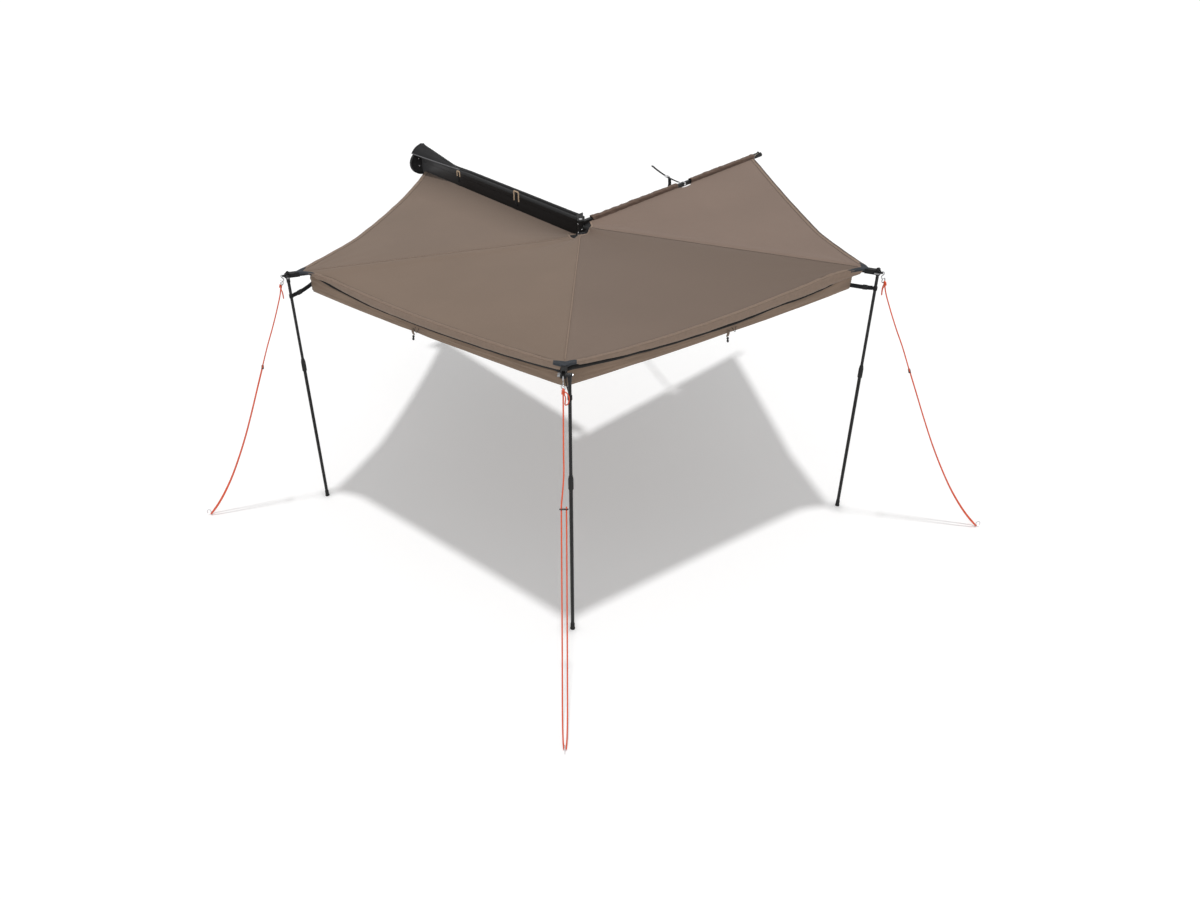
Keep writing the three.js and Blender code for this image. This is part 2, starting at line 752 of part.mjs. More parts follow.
// Legs: built about the pivot, in the arm's frame, hanging straight down.
function legParts(i, frame) {
  const n = i + 1;
  const x = tipRadii[i];
  const z = tipZ(i);
  const drop = z - ground;
  const atLeg = (geometry) => geometry.translate(x, legOffset, z);
  const head = fused(
    axle(legHeadRadius, -half(legHeadWidth), half(legHeadWidth), medium),
    post(upperRadius, -upperLength, 0, medium),
    post(legHeadRadius, -3 * legHeadRadius, -half(legHeadRadius), medium),
  );
  const bore = axle(boltRadius + boreClearance, -tipBack, tipBack, medium);
  add(`leg_${n}_upper`, atLeg(cutBy(head, bore)), "leg", frame);
  const lower = cutBy(
    post(lowerRadius, lowerBottom - drop, lowerTop - drop, medium),
    post(upperRadius + tubeClearance, lowerBoreFloor - drop, lowerTop, medium),
  );
  add(`leg_${n}_lower`, atLeg(lower), "leg", frame);
  const gripBottom = collarTop - collarTaper - collarGrip;
  const gripTop = collarTop - collarTaper;
  const innerLow = lowerRadius + tubeClearance;
  const innerHigh = upperRadius + tubeClearance;
  const fluteReach = collarRadius + half(fluteRadius);
  const flutes = Array.from({ length: collarFlutes }, (_, k) => {
    const a = (k * 2 * Math.PI) / collarFlutes;
    const [x, y] = [fluteReach * Math.cos(a), fluteReach * Math.sin(a)];
    return post(fluteRadius, gripBottom + footBand, gripTop - footBand, fluteSides, x, y);
  });
  const collar = cutBy(
    turned([
      [innerLow, gripBottom],
      [collarRadius, gripBottom],
      [collarRadius, gripTop],
      [innerHigh + tubeClearance * 4, collarTop],
      [innerHigh, collarTop],
      [innerHigh, lowerTop + tubeClearance],
      [innerLow, lowerTop + tubeClearance],
    ], fine),
    ...flutes,
  );
  add(`leg_${n}_collar`, atLeg(collar.translate(0, 0, -drop)), "plastic", frame);
  const foot = turned([
    [0, 0],
    [footBase - half(footBand), 0],
    [footBase, half(footBand)],
    [footBase, 2 * footBand],
    [footNeck, 3 * footBand],
    [footNeck, footHeight - footBand],
    [footNeck - half(half(footBand)), footHeight],
    [innerLow, footHeight],
    [innerLow, footFloor],
    [0, footFloor],
  ], roundFoot);
  add(`leg_${n}_foot`, atLeg(foot.translate(0, 0, -drop)), "rubber", frame);
  const clampZ = -clampDrops[i];
  const lug = half(clampLugWidth);
  const clamp = cutBy(
    fused(
      post(clampRadius, clampZ - half(clampHeight), clampZ + half(clampHeight), medium),
      block(-clampLug, 0, -lug, lug, clampZ - lug, clampZ + lug),
    ),
    post(upperRadius + tubeClearance, clampZ - clampHeight, clampZ + clampHeight, medium),
  );
  add(`leg_${n}_clamp`, atLeg(clamp), "trim", frame);
}

for (let i = 0; i < armCount; i++) {
  const frame = armFrame(i);
  const n = i + 1;
  add(`arm_${n}`, armGeometry(i), "arm", frame);
  add(`tip_${n}`, tipGeometry(i), "black", frame);
  if (i < armCount - 1) {
    add(`wing_bolt_${n}`, wingBoltGeometry(i), "steel", frame);
    legParts(i, frame);
  }
}

// Canopy: panel k lies between side k and side k + 1, where side 0 is the rail and side n is arm n.
const armTop = (i, radius) => level(i) + half(armTube) / Math.cos(tilt) + clothLift + riseSlope * radius;
const pin = vec(pinX, pinY, 0);
const last = armCount - 1;

function sideLine(k) {
  if (k === 0) return { from: vec(pinX, -railDepth, 0), along: vec(-1, 0, 0), inward: vec(0, -1, 0) };
  return { from: pin.clone(), along: outward(k - 1), inward: sideways(k - 1) };
}

function sideHeight(k, point) {
  if (k === 0) return trackZ;
  const reach = point.clone().setZ(0).sub(pin).dot(outward(k - 1));
  return armTop(k - 1, reach) - (k === armCount ? cloth : 0);
}

// The point at a distance off a side's line, where it meets the ring or the hem.
function onRing(k, sign, distance) {
  const { from, along, inward } = sideLine(k);
  const off = from.clone().sub(pin).dot(inward) * sign + distance;
  const foot = pin.clone().addScaledVector(inward, sign * off);
  return foot.addScaledVector(along, Math.sqrt(ringRadius ** 2 - off ** 2));
}

function corner(k) {
  if (k === 0) return vec(railFront + railCornerInset, -railDepth, 0);
  return armPoint(k - 1, k === armCount ? sleeveCorner : cornerRadius, 0, 0);
}

function panelGrid(p) {
  const [a, b] = [sideLine(p), sideLine(p + 1)];
  const [ca, cb] = [corner(p), corner(p + 1)];
  const chord = cb.clone().sub(ca);
  const bowSide = pin.clone().sub(ca).projectOnPlane(chord.clone().normalize()).normalize();
  const offA = (point) => point.clone().sub(a.from).dot(a.inward);
  const offB = (point) => -point.clone().sub(b.from).dot(b.inward);
  const onChord = (t) => {
    const point = ca.clone().addScaledVector(chord, t);
    return point.addScaledVector(bowSide, panelBows[p] * 4 * t * (1 - t));
  };
  const sleeveSide = half(armTube) + pocketClearance + bandWall + 2 * clothGap;
  const lastOff = p + 1 === armCount ? sleeveSide : half(clothGap);
  const nearA = [half(clothGap), flatHalf, patchHalf];
  const nearB = [patchHalf, Math.max(flatHalf, lastOff + clothGap), lastOff];
  const shareA = (distance) => distance / chord.dot(a.inward);
  const shareB = (distance) => 1 - distance / chord.dot(b.inward);
  const columns = [];
  for (const d of nearA) columns.push({ ring: onRing(p, 1, d), share: shareA(d), d });
  const [r0, r1] = [onRing(p, 1, patchHalf), onRing(p + 1, -1, patchHalf)];
  for (let c = 1; c < panelColumns; c++) {
    const t = c / panelColumns;
    const angle0 = Math.atan2(r0.y - pinY, r0.x - pinX);
    let angle1 = Math.atan2(r1.y - pinY, r1.x - pinX);
    if (angle1 < angle0) angle1 += 2 * Math.PI;
    const angle = mix(angle0, angle1, t);
    const ring = vec(pinX + ringRadius * Math.cos(angle), pinY + ringRadius * Math.sin(angle), 0);
    columns.push({ ring, share: mix(shareA(patchHalf), shareB(patchHalf), t), d: patchHalf });
  }
  for (const d of nearB) columns.push({ ring: onRing(p + 1, -1, d), share: shareB(d), d });
  const skirted = panelBows[p] === 0;
  return columns.map(({ ring, share, d }, index) => {
    const k = index < nearA.length ? p : p + 1;
    const nearArm = d < patchHalf && k > 0 && k < armCount;
    const reach = k > 0 ? tipRadii[k - 1] - tipBack - patchGap - cornerRadius : 0;
    const outer = onChord(share);
    if (nearArm) outer.addScaledVector(outward(k - 1), reach * (1 - d / patchHalf));
    const band = skirted ? hemBand : freeHem;
    const drop = d < patchHalf ? hemDrop : band;
    const height = (point) => {
      const [da, db] = [offA(point), offB(point)];
      const t = clamp01((da - flatHalf) / (da + db - 2 * flatHalf));
      const base = mix(sideHeight(p, point), sideHeight(p + 1, point), ease(t));
      const reachShare = point.clone().sub(pin).length() / armRadius;
      return base - panelSags[p] * reachShare ** 2 * 4 * t * (1 - t);
    };
    return { ring, outer, height, drop };
  });
}

function panelGeometry(p) {
  const columns = panelGrid(p);
  const rows = radialShares.length;
  return skin(rows, columns.length - 1, (u, v, w) => {
    const { ring, outer, height, drop } = columns[v];
    const hanging = u === rows;
    const point = ring.clone().lerp(outer, hanging ? 1 : radialShares[u]);
    const z = height(point) + cloth;
    const inset = u >= rows - 1 && !w ? cloth : 0;
    point.addScaledVector(ring.clone().sub(outer).normalize(), inset);
    return point.setZ(hanging ? z - drop : z - (w ? 0 : cloth));
  });
}

for (let p = 0; p < armCount; p++) add(`canopy_${p + 1}`, panelGeometry(p), "canopy");

// Sleeve round the last arm, open where the ring sits.
const lastFrame = armFrame(last);
const sleeveInner = armTube + 2 * sleeveClearance;
const sleeveOuter = sleeveInner + 2 * sleeveWall;
const sleeve = cutBy(
  bar(roundedRect(sleeveOuter, sleeveOuter, armCorner + sleeveWall), sleeveStart, sleeveEnd),
  bar(roundedRect(sleeveInner, sleeveInner, armCorner), sleeveStart - bandWidth, sleeveEnd + bandWidth),
  block(cutOutStart, cutOutEnd, -sleeveOuter, sleeveOuter, cutOutFloor, sleeveOuter),
);
add("sleeve", tilted(sleeve, last), "canopy", lastFrame);

// Ring: a band round the arm with an eye on its forward side.
const bandInner = armTube + 2 * pocketClearance;
const bandOuter = bandInner + 2 * bandWall;
const bandLow = ringPlace - half(bandWidth);
const bandHigh = ringPlace + half(bandWidth);
const eye = new THREE.TorusGeometry(eyeRadius, eyeWire, eyeWireSides, coarse);
eye.translate(ringPlace, half(bandOuter) + eyeRadius - eyeWire, 0);
const [pastLow, pastHigh] = [bandLow - bandWidth, bandHigh + bandWidth];
const bandSection = cutBy(
  bar(roundedRect(bandOuter, bandOuter, armCorner + bandWall), bandLow, bandHigh),
  bar(roundedRect(bandInner, bandInner, armCorner), pastLow, pastHigh),
  block(pastLow, pastHigh, -bandOuter, bandOuter, -bandOuter, cutOutFloor + clothGap),
);
const eyeTrim = block(pastLow, pastHigh, -half(bandInner), half(bandInner), -eyeWire, eyeWire);
add("ring_4", tilted(fused(bandSection, cutBy(eye, eyeTrim)), last), "steel", lastFrame);

// Tie strap from the ring's eye to its far end, with a cam buckle and a tail.
const eyeSide = half(bandOuter) + 2 * eyeRadius - eyeWire;
const tieStart = armPoint(last, ringPlace, eyeSide + tieLead, level(last) + riseSlope * ringPlace);
const tieStop = vec(...tieEnd);
const tieRun = tieStop.clone().sub(tieStart);
const tieSide = vec().crossVectors(tieRun, vec(0, 0, 1)).normalize();
const tieAt = (t) => {
  const point = tieStart.clone().addScaledVector(tieRun, t);
  point.z -= tieSag * 4 * t * (1 - t);
  return point;
};
const buckleFrame = (geometry) => {
  const before = tieAt(tieBuckleShare - tieLookShare);
  const ahead = tieAt(tieBuckleShare + tieLookShare).sub(before).normalize();
  const up = vec().crossVectors(tieSide, ahead).normalize();
  geometry.applyMatrix4(new THREE.Matrix4().makeBasis(ahead, vec().crossVectors(up, ahead), up));
  const centre = tieAt(tieBuckleShare);
  return geometry.translate(centre.x, centre.y, centre.z);
};
const [buckleLength, buckleWidth, buckleHeight] = tieBuckleSize;
const tailFrom = tieAt(tieBuckleShare - (half(buckleLength) + tieWidth) / tieRun.length());
const tail = block(-half(tieThickness), half(tieThickness), -half(tieWidth), half(tieWidth), -tieTail, 0);
tail.rotateZ(Math.atan2(tieRun.y, tieRun.x)).translate(tailFrom.x, tailFrom.y, tailFrom.z);
const tieGeometry = fused(strap(tieStart, tieStop, tieSide, tieWidth, tieThickness, tieSag, tieSteps), tail);
add("tie_strap", tieGeometry, "trim");
const buckleSlot = block(
  -buckleLength,
  buckleLength,
  -half(tieWidth) - clothGap,
  half(tieWidth) + clothGap,
  -half(tieThickness) - 2 * clothGap,
  half(tieThickness) + 2 * clothGap,
);
const buckleBody = block(
  -half(buckleLength),
  half(buckleLength),
  -half(buckleWidth),
  half(buckleWidth),
  -half(buckleHeight),
  half(buckleHeight),
);
add("tie_buckle", buckleFrame(cutBy(buckleBody, buckleSlot)), "steel");

// Valance: a rolled bundle under each outer hem, mitred where the two meet.
const cornerTop = (i) => armTop(i, cornerRadius) + cloth;

function valanceGeometry(i) {
  const [from, to] = [corner(i + 1), corner(i + 2)];
  from.z = cornerTop(i) - valanceTop;
  to.z = cornerTop(i + 1) - valanceTop;
  const run = to.clone().sub(from);
  const flatRun = run.clone().setZ(0);
  const length = flatRun.length();
  const along = flatRun.clone().normalize();
  const inward = vec().crossVectors(vec(0, 0, 1), along);
  const mitre = Math.tan(radians(half(armSpread)));
  const section = roundedRect(2 * valanceHalf, valanceHeight, valanceHalf - valancePinch);
  const roll = new THREE.ExtrudeGeometry(section, {
    depth: 1,
    steps: valanceSteps,
    bevelEnabled: false,
    curveSegments: 2,
  });
  const positions = roll.attributes.position;
  for (let j = 0; j < positions.count; j++) {
    const t = positions.getZ(j);
    const pinch = Math.exp(-(((t - pinchShares[i]) * valanceSteps) ** 2));
    const across = positions.getX(j) * (1 - (pinch * valancePinch) / valanceHalf);
    const inset = valanceInset + across;
    const margin = valanceEndGap + inset * mitre;
    const reach = mix(margin, length - margin, t);
    const point = from.clone().addScaledVector(along, reach).addScaledVector(inward, inset);
    point.z = mix(from.z, to.z, reach / length) - half(valanceHeight) + positions.getY(j);
    point.z -= valanceSag * 4 * t * (1 - t);
    positions.setXYZ(j, point.x, point.y, point.z);
  }
  return roll;
}

for (let i = 0; i < armCount - 2; i++) add(`valance_${i + 1}`, valanceGeometry(i), "canopy");

// Leg straps: from the end of the valance to the clamp on each leg.
for (let i = 0; i < armCount - 1; i++) {
  const clampSide = armPoint(i, tipRadii[i] - clampLug - clothGap, legOffset, tipZ(i) - clampDrops[i]);
  const cornerSide = armPoint(i, cornerRadius + clothGap, legOffset, cornerTop(i) + legStrapLevel);
  const standing = vec(0, 0, 1);
  const [width, thickness] = [legStrapWidth, legStrapThickness];
  const band = strap(cornerSide, clampSide, standing, width, thickness, legStrapSag, legStrapSteps);
  add(`leg_strap_${i + 1}`, band, "trim");
}

// Guy lines: hook in the tip's lug, rope down to the slider, double strand to the peg and back.
for (let i = 0; i < armCount - 1; i++) {
  const n = i + 1;
  const out = outward(i);
  const lugWire = half(lugX + half(lugHole) + lugX + lugRadius);
  const lug = armPoint(i, tipRadii[i] + lugWire, 0, tipZ(i) + hookCrown);
  const hookAt = (x, z) => lug.clone().addScaledVector(out, x).setZ(lug.z + z);
  const hookPoints = [
    hookAt(-hookBend, -hookBend),
    hookAt(-hookBend, 0),
    hookAt(-hookBend * Math.SQRT1_2, hookBend * Math.SQRT1_2),
    hookAt(0, hookBend),
    hookAt(hookBend * Math.SQRT1_2, hookBend * Math.SQRT1_2),
    hookAt(hookBend, 0),
    hookAt(hookBend, -half(hookStem)),
    hookAt(hookBend, -hookStem),
    hookAt(hookBend + hookLow * (1 - Math.SQRT1_2), -hookStem - hookLow * Math.SQRT1_2),
    hookAt(hookBend + hookLow, -hookStem - hookLow),
    hookAt(hookBend + hookLow * (1 + Math.SQRT1_2), -hookStem - hookLow * Math.SQRT1_2),
    hookAt(hookBend + 2 * hookLow, -hookStem),
    hookAt(hookBend + 2 * hookLow, -hookStem + half(hookLow)),
  ];
  add(`hook_${n}`, tube(hookPoints, hookWire, ropeSides, 1), "steel");

  const start = hookAt(hookBend + hookLow, -hookStem - hookLow - hookWire - clothGap);
  const [pegX, pegY] = pegs[i];
  const end = vec(pegX, pegY, ground);
  const span = end.clone().sub(start).setZ(0);
  const across = vec(-span.y, span.x, 0).normalize();
  const routeAt = ([share, side, fall]) => {
    const point = start.clone().addScaledVector(span, share).addScaledVector(across, side * strandGap);
    return point.setZ(mix(start.z, end.z, fall));
  };
  add(`rope_${n}`, tube(ropeRoute.map(routeAt), ropeRadius, ropeSides), "rope");

  const sliderCentre = routeAt(sliderShares);
  const shift = (sign) => routeAt(sliderShares.map((share, j) => share + sign * sliderAheadShares[j]));
  const ahead = shift(1).sub(shift(-1)).normalize();
  const [sliderLength, sliderWidth, sliderThickness] = sliderSize;
  const holes = [-1, 1].map((sign) =>
    post(sliderHole, -sliderWidth, sliderWidth, coarse, half(sign * strandGap), 0),
  );
  const sliderEdge = roundedRect(sliderLength, sliderThickness, half(sliderThickness) - tubeClearance);
  const slider = cutBy(slab(sliderEdge, -half(sliderWidth), half(sliderWidth)), ...holes);
  slider.applyMatrix4(new THREE.Matrix4().makeBasis(across, vec().crossVectors(ahead, across), ahead));
  slider.translate(sliderCentre.x, sliderCentre.y, sliderCentre.z);
  add(`slider_${n}`, slider, "plastic");

  const outDirection = span.clone().normalize();
  const pegAt = (x, z) => end.clone().addScaledVector(outDirection, x).setZ(ground + z);
  const leanSlope = pegLean / (pegAbove + pegBelow);
  const pegPoints = [
    pegAt(-pegBelow * leanSlope, -pegBelow),
    pegAt(-half(pegBelow) * leanSlope, -half(pegBelow)),
    pegAt(0, 0),
    pegAt(pegAbove * leanSlope, pegAbove),
    pegAt(pegAbove * leanSlope + pegHook * (1 - Math.SQRT1_2), pegAbove + pegHook * Math.SQRT1_2),
    pegAt(pegAbove * leanSlope + pegHook, pegAbove + pegHook),
    pegAt(pegAbove * leanSlope + pegHook * (1 + Math.SQRT1_2), pegAbove + pegHook * Math.SQRT1_2),
    pegAt(pegAbove * leanSlope + 2 * pegHook, pegAbove),
    pegAt(pegAbove * leanSlope + 2 * pegHook, half(pegAbove)),
  ];
  add(`peg_${n}`, tube(pegPoints, pegWire, ropeSides, 1), "steel");
}

// Elastic loop that pulls the canopy's last corner to the last tip.
const elasticPoints = elasticRoute.map(([place, side, up]) => {
  const radius = tipRadii[last] + place;
  return armPoint(last, radius, side, level(last) + riseSlope * radius + up);
});
add("elastic_4", tube(elasticPoints, elasticRadius, elasticSides, elasticStepsPerPoint), "tan");

export default awning;
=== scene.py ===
"""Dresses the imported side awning: cloth, cords, trim, finishes, light and camera."""

import math

import bmesh
import bpy
import numpy as np
from bpy.props import FloatProperty, FloatVectorProperty, IntProperty, PointerProperty
from mathutils import Matrix, Vector, noise


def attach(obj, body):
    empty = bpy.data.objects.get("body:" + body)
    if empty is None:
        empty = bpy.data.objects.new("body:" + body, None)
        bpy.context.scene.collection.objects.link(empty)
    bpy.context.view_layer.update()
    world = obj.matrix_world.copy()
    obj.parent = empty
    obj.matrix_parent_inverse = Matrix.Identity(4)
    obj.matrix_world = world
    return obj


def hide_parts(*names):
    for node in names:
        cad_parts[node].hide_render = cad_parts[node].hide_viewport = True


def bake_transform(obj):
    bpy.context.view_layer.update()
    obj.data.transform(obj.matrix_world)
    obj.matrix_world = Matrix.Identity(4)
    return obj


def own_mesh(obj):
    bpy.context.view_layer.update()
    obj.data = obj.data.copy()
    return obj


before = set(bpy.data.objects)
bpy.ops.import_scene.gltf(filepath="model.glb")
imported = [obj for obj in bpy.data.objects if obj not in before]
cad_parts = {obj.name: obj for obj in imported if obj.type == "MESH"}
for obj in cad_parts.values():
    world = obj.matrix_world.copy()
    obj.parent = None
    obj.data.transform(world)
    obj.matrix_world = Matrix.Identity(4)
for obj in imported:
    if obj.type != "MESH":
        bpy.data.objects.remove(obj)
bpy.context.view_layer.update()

bl_info = {
    "name": "Side awning",
    "version": (1, 0, 0),
    "blender": (4, 5, 0),
    "location": "3D View > Sidebar > Awning",
    "description": "Builds the cloth, cords, trim and finishes of a fold-out side awning on its frame",
    "category": "Object",
}

# Places that the cloth and the cords share with the frame, in metres.
PIN = np.array([1.0815, -0.106, 0.0])
SPREAD = math.radians(67.5)
ARM_LEVELS = [-0.024, 0.014, 0.052, 0.090]
ARM_REACH = 1.995
ARM_SLOPE = 0.050 / ARM_REACH
ARM_HALF = 0.0125
TIP_RADII = [2.006, 1.974, 2.006, 1.995]
RAIL_FACE, TRACK_LEVEL = -0.060, -0.041
RAIL_CORNER = np.array([-0.950, RAIL_FACE, 0.0])
GROUND = -1.752
PEGS = [(-0.028, -2.692), (3.088, -2.065), (3.687, 1.197)]

# Guy lines: the share of the way out to the peg, the side of the loop and the share of the way down.
STRAND_GAP = 0.027
ROPE_ROUTE = [
    (0, 0, 0), (0.02, 0, 0.04), (0.07, 0, 0.103), (0.14, 0, 0.182), (0.205, 0, 0.25), (0.28, -0.5, 0.337),
    (0.29, -0.5, 0.348), (0.36, -0.5, 0.428), (0.46, -0.5, 0.543), (0.56, -0.5, 0.652), (0.66, -0.5, 0.75),
    (0.76, -0.5, 0.838), (0.86, -0.5, 0.912), (0.93, -0.44, 0.956), (0.975, -0.36, 0.98), (0.993, -0.27, 0.989),
    (1.004, -0.235, 0.9935), (1.0083, -0.15, 0.9945), (1.0104, 0, 0.995), (1.0083, 0.15, 0.9945),
    (1.004, 0.235, 0.9935), (0.993, 0.27, 0.989), (0.975, 0.36, 0.98),
    (0.93, 0.44, 0.956), (0.86, 0.5, 0.912), (0.76, 0.5, 0.838), (0.66, 0.5, 0.75), (0.56, 0.5, 0.652),
    (0.46, 0.5, 0.543), (0.36, 0.5, 0.428), (0.29, 0.5, 0.348), (0.278, 0.5, 0.335),
]
# Elastic: out from the pin, across the arm and above its axis.
ELASTIC_ROUTE = [(1.899, -0.027, 0.0161), (1.915, -0.022, 0.0168)]
ELASTIC_ROUTE += [(1.938, -0.013, 0.0175), (1.972, -0.008, 0.0174)]

# Canopy: the ring at the rail and at each arm, its facing's inner edge and the corners out on the arms.
RINGS = [0.110, 0.074, 0.074, 0.074, 0.074]
FACING = 0.026
CORNER, LAST_CORNER = 1.862, 1.915
PANEL_SAGS = [0.025, 0.066, 0.066, 0.025]
PANEL_BOWS = [0.044, 0.0, 0.0, -0.010]
# Places across a panel, away from an arm's middle: flat over the tube, then out under the patch.
FLAT_HALF, PATCH_HALF, SLEEVE_SIDE = 0.014, 0.042, 0.0168
EDGE_STEPS = [0.00025, 0.003, 0.006, 0.010, FLAT_HALF, 0.019, 0.025, 0.033, PATCH_HALF]
SLEEVE_STEPS = [PATCH_HALF, 0.034, 0.027, 0.021, SLEEVE_SIDE]
MIDDLE_COLUMNS = 46
# How far from an arm's middle its folded leg reaches, and how much the cloth stands up over it.
LEG_REACH, LEG_ROOM = 0.048, 0.0025
# Where the ring on arm 4 breaks the canopy's edge: middle, half its length, depth and how far in it fades.
NOTCH_AT, NOTCH_HALF, NOTCH_DEPTH, NOTCH_FADE = 1.064, 0.062, 0.034, 0.12

# Corners that reach out towards the tips: how far short they stop, and how wide and how hollow they are.
PATCH_REACHES = [0.049, 0.064, 0.049]
HORNS = {"skirted": (0.150, 1.8), "middle": (1.4, 1.5), "free": (0.5, 1.1)}
PATCH_WING, PATCH_DEPTH = 0.062, 0.046

# Depth of the turned-down hem: under a patch, on a free side, and at shares along each skirted panel.
PATCH_DROP, FREE_HEM = 0.0026, 0.007
HEM_DROPS = {
    1: ([0, 0.05, 0.15, 0.28, 0.60, 0.80, 0.95, 1], [0.022, 0.032, 0.048, 0.060, 0.052, 0.046, 0.040, 0.034]),
    2: (
        [0, 0.04, 0.10, 0.20, 0.40, 0.74, 0.85, 0.94, 1],
        [0.022, 0.022, 0.026, 0.036, 0.052, 0.060, 0.072, 0.066, 0.024],
    ),
}

# Valances: their rolls, where they start and end, and their toggles.
VALANCE_TOP, VALANCE_HEIGHT, VALANCE_HALF, VALANCE_SAG = 0.060, 0.108, 0.012, 0.016
VALANCE_INSET, VALANCE_GAP = 0.01435, 0.004
VALANCE_ENDS = [(0.030, 0.004), (0.004, 0.016)]
ROLL_TURNS = 2.35
TOGGLE_SHARES = [0.45, 0.53]
# How far the black tape shows below the hem, at shares along each valance; its dark band also stands in as
# painted shade in the gap under the hem.
TAPE_AND_SHADE_SHOWS = [
    ([0, 0.1, 0.15, 0.42, 0.55, 0.7, 0.9, 1], [0.010, 0.009, 0.004, 0.003, 0.007, 0.010, 0.016, 0.018]),
    (
        [0, 0.12, 0.2, 0.45, 0.5, 0.62, 0.68, 0.9, 1],
        [0.015, 0.013, 0.008, 0.008, 0.013, 0.013, 0.008, 0.010, 0.012],
    ),
]
# How much lower the tape, partly painted shade, hangs for each metre that the canopy's corner stands out over
# it.
TAPE_AND_SHADE_LOWER = 0.6


class AwningSizes(bpy.types.PropertyGroup):
    """Sizes of the cloth and the cords that can be changed."""

    cloth: FloatProperty(
        name="Cloth thickness", description="Thickness of the canopy cloth", default=0.0012, unit="LENGTH"
    )
    rope: FloatProperty(
        name="Rope diameter", description="Diameter of the guy lines", default=0.008, unit="LENGTH"
    )
    elastic: FloatProperty(
        name="Elastic diameter", description="Diameter of the elastic cord", default=0.003, unit="LENGTH"
    )
    strand_detail: IntProperty(name="Strand detail", description="Points along each stretch of cord", default=8)


class AwningColours(bpy.types.PropertyGroup):
    """Colours of the awning's finishes, as linear values."""

    canopy: FloatVectorProperty(
        name="Canopy", description="Colour of the canopy cloth", subtype="COLOR", default=(0.214, 0.155, 0.117)
    )
    rope: FloatVectorProperty(
        name="Guy line", description="Colour of the guy lines", subtype="COLOR", default=(0.86, 0.10, 0.025)
    )


# Finishes
class Finish:
    """One procedural material, built up node by node round its shader."""

    def __init__(self, name, roughness, metallic=0.0, **plain):
        self.material = bpy.data.materials.new(name)
        self.material.use_nodes = True
        self.tree = self.material.node_tree
        self.shader = next(n for n in self.tree.nodes if n.type == "BSDF_PRINCIPLED")
        self.shader.inputs["Roughness"].default_value = roughness
        self.shader.inputs["Metallic"].default_value = metallic
        for words, value in plain.items():
            socket = next(s for s in self.shader.inputs if s.name.lower() == words.replace("_", " "))
            socket.default_value = value
        self.where = self.node("ShaderNodeTexCoord")

    def node(self, kind, values=None, **settings):
        made = self.tree.nodes.new(kind)
        for key, value in settings.items():
            setattr(made, key, value)
        for socket, value in (values or {}).items():
            target = next(s for s in made.inputs if socket in (s.identifier, s.name) and s.enabled)
            if isinstance(value, bpy.types.NodeSocket):
                self.tree.links.new(value, target)
            else:
                target.default_value = value
        return made

    def noise(self, scale, detail=3.0, stretch=(1, 1, 1), coords="Object"):
        placed = self.node("ShaderNodeMapping", {"Vector": self.where.outputs[coords], "Scale": stretch})
        values = {"Vector": placed.outputs["Vector"], "Scale": scale, "Detail": detail}
        return self.node("ShaderNodeTexNoise", values).outputs[0]

    def bands(self, pitch, degrees=0):
        """Bands across the UV map, a pitch in metres apart."""
        turn = (0, 0, math.radians(degrees))
        placed = self.node("ShaderNodeMapping", {"Vector": self.where.outputs["UV"], "Rotation": turn})
        values = {"Vector": placed.outputs["Vector"], "Scale": math.tau / 20 / pitch}
        return self.node("ShaderNodeTexWave", values, bands_direction="X").outputs["Fac"]

    def axis(self, which):
        """The place along one axis of the object, in metres."""
        return self.node("ShaderNodeSeparateXYZ", {"Vector": self.where.outputs["Object"]}).outputs[which]

    def reckon(self, operation, *numbers):
        values = dict(zip(("Value", "Value_001", "Value_002"), numbers))
        return self.node("ShaderNodeMath", values, operation=operation).outputs[0]

    def ranged(self, factor, low, high, to_low=0.0, to_high=1.0):
        values = {"Value": factor, "From Min": low, "From Max": high, "To Min": to_low, "To Max": to_high}
        return self.node("ShaderNodeMapRange", values).outputs[0]

    def mixed(self, factor, first, second):
        colours = [c if isinstance(c, bpy.types.NodeSocket) else (*c, 1.0) for c in (first, second)]
        values = {"Factor_Float": factor, "A_Color": colours[0], "B_Color": colours[1]}
        made = self.node("ShaderNodeMix", values, data_type="RGBA")
        return next(s for s in made.outputs if s.identifier == "Result_Color")

    def colour(self, value):
        if isinstance(value, bpy.types.NodeSocket):
            self.tree.links.new(value, self.shader.inputs["Base Color"])
        else:
            self.shader.inputs["Base Color"].default_value = (*value, 1.0)

    def rough(self, factor, low, high):
        self.tree.links.new(self.ranged(factor, 0.3, 0.7, low, high), self.shader.inputs["Roughness"])

    def bump(self, height, depth, strength=1.0):
        """Adds a relief on top of any that is there already."""
        before = self.shader.inputs["Normal"].links
        values = {"Height": height, "Distance": depth, "Strength": strength}
        if before:
            values["Normal"] = before[0].from_socket
        made = self.node("ShaderNodeBump", values)
        self.tree.links.new(made.outputs["Normal"], self.shader.inputs["Normal"])


FINISHES = {}


def finish(maker):
    """Makes each finish once and hands the same material out after that."""
    name = maker.__name__

    def give(*args):
        key = "_".join([name, *map(str, args)])
        if key not in FINISHES:
            FINISHES[key] = maker(*args).material
            FINISHES[key].name = key
        return FINISHES[key]

    return give


def shaded(colour, share):
    """A colour, a share lighter or darker."""
    return tuple(min(1.0, c * share) for c in colour)


@finish
def braided_rope():
    """Braided guy line: two sets of crossing strands and a fleck of pale tracer."""
    base = tuple(bpy.context.scene.awning_colours.rope)
    made = Finish("rope", 0.75, sheen_weight=0.2)
    weave = made.reckon("MAXIMUM", made.bands(0.0035, 35), made.bands(0.0035, -35))
    worn = made.noise(9, 4)
    strands = made.mixed(made.ranged(weave, 0.35, 0.95), shaded(base, 0.55), base)
    made.colour(made.mixed(made.ranged(worn, 0.5, 0.75, 0, 0.35), strands, shaded(base, 1.25)))
    made.bump(weave, 0.0006, 0.6)
    return made
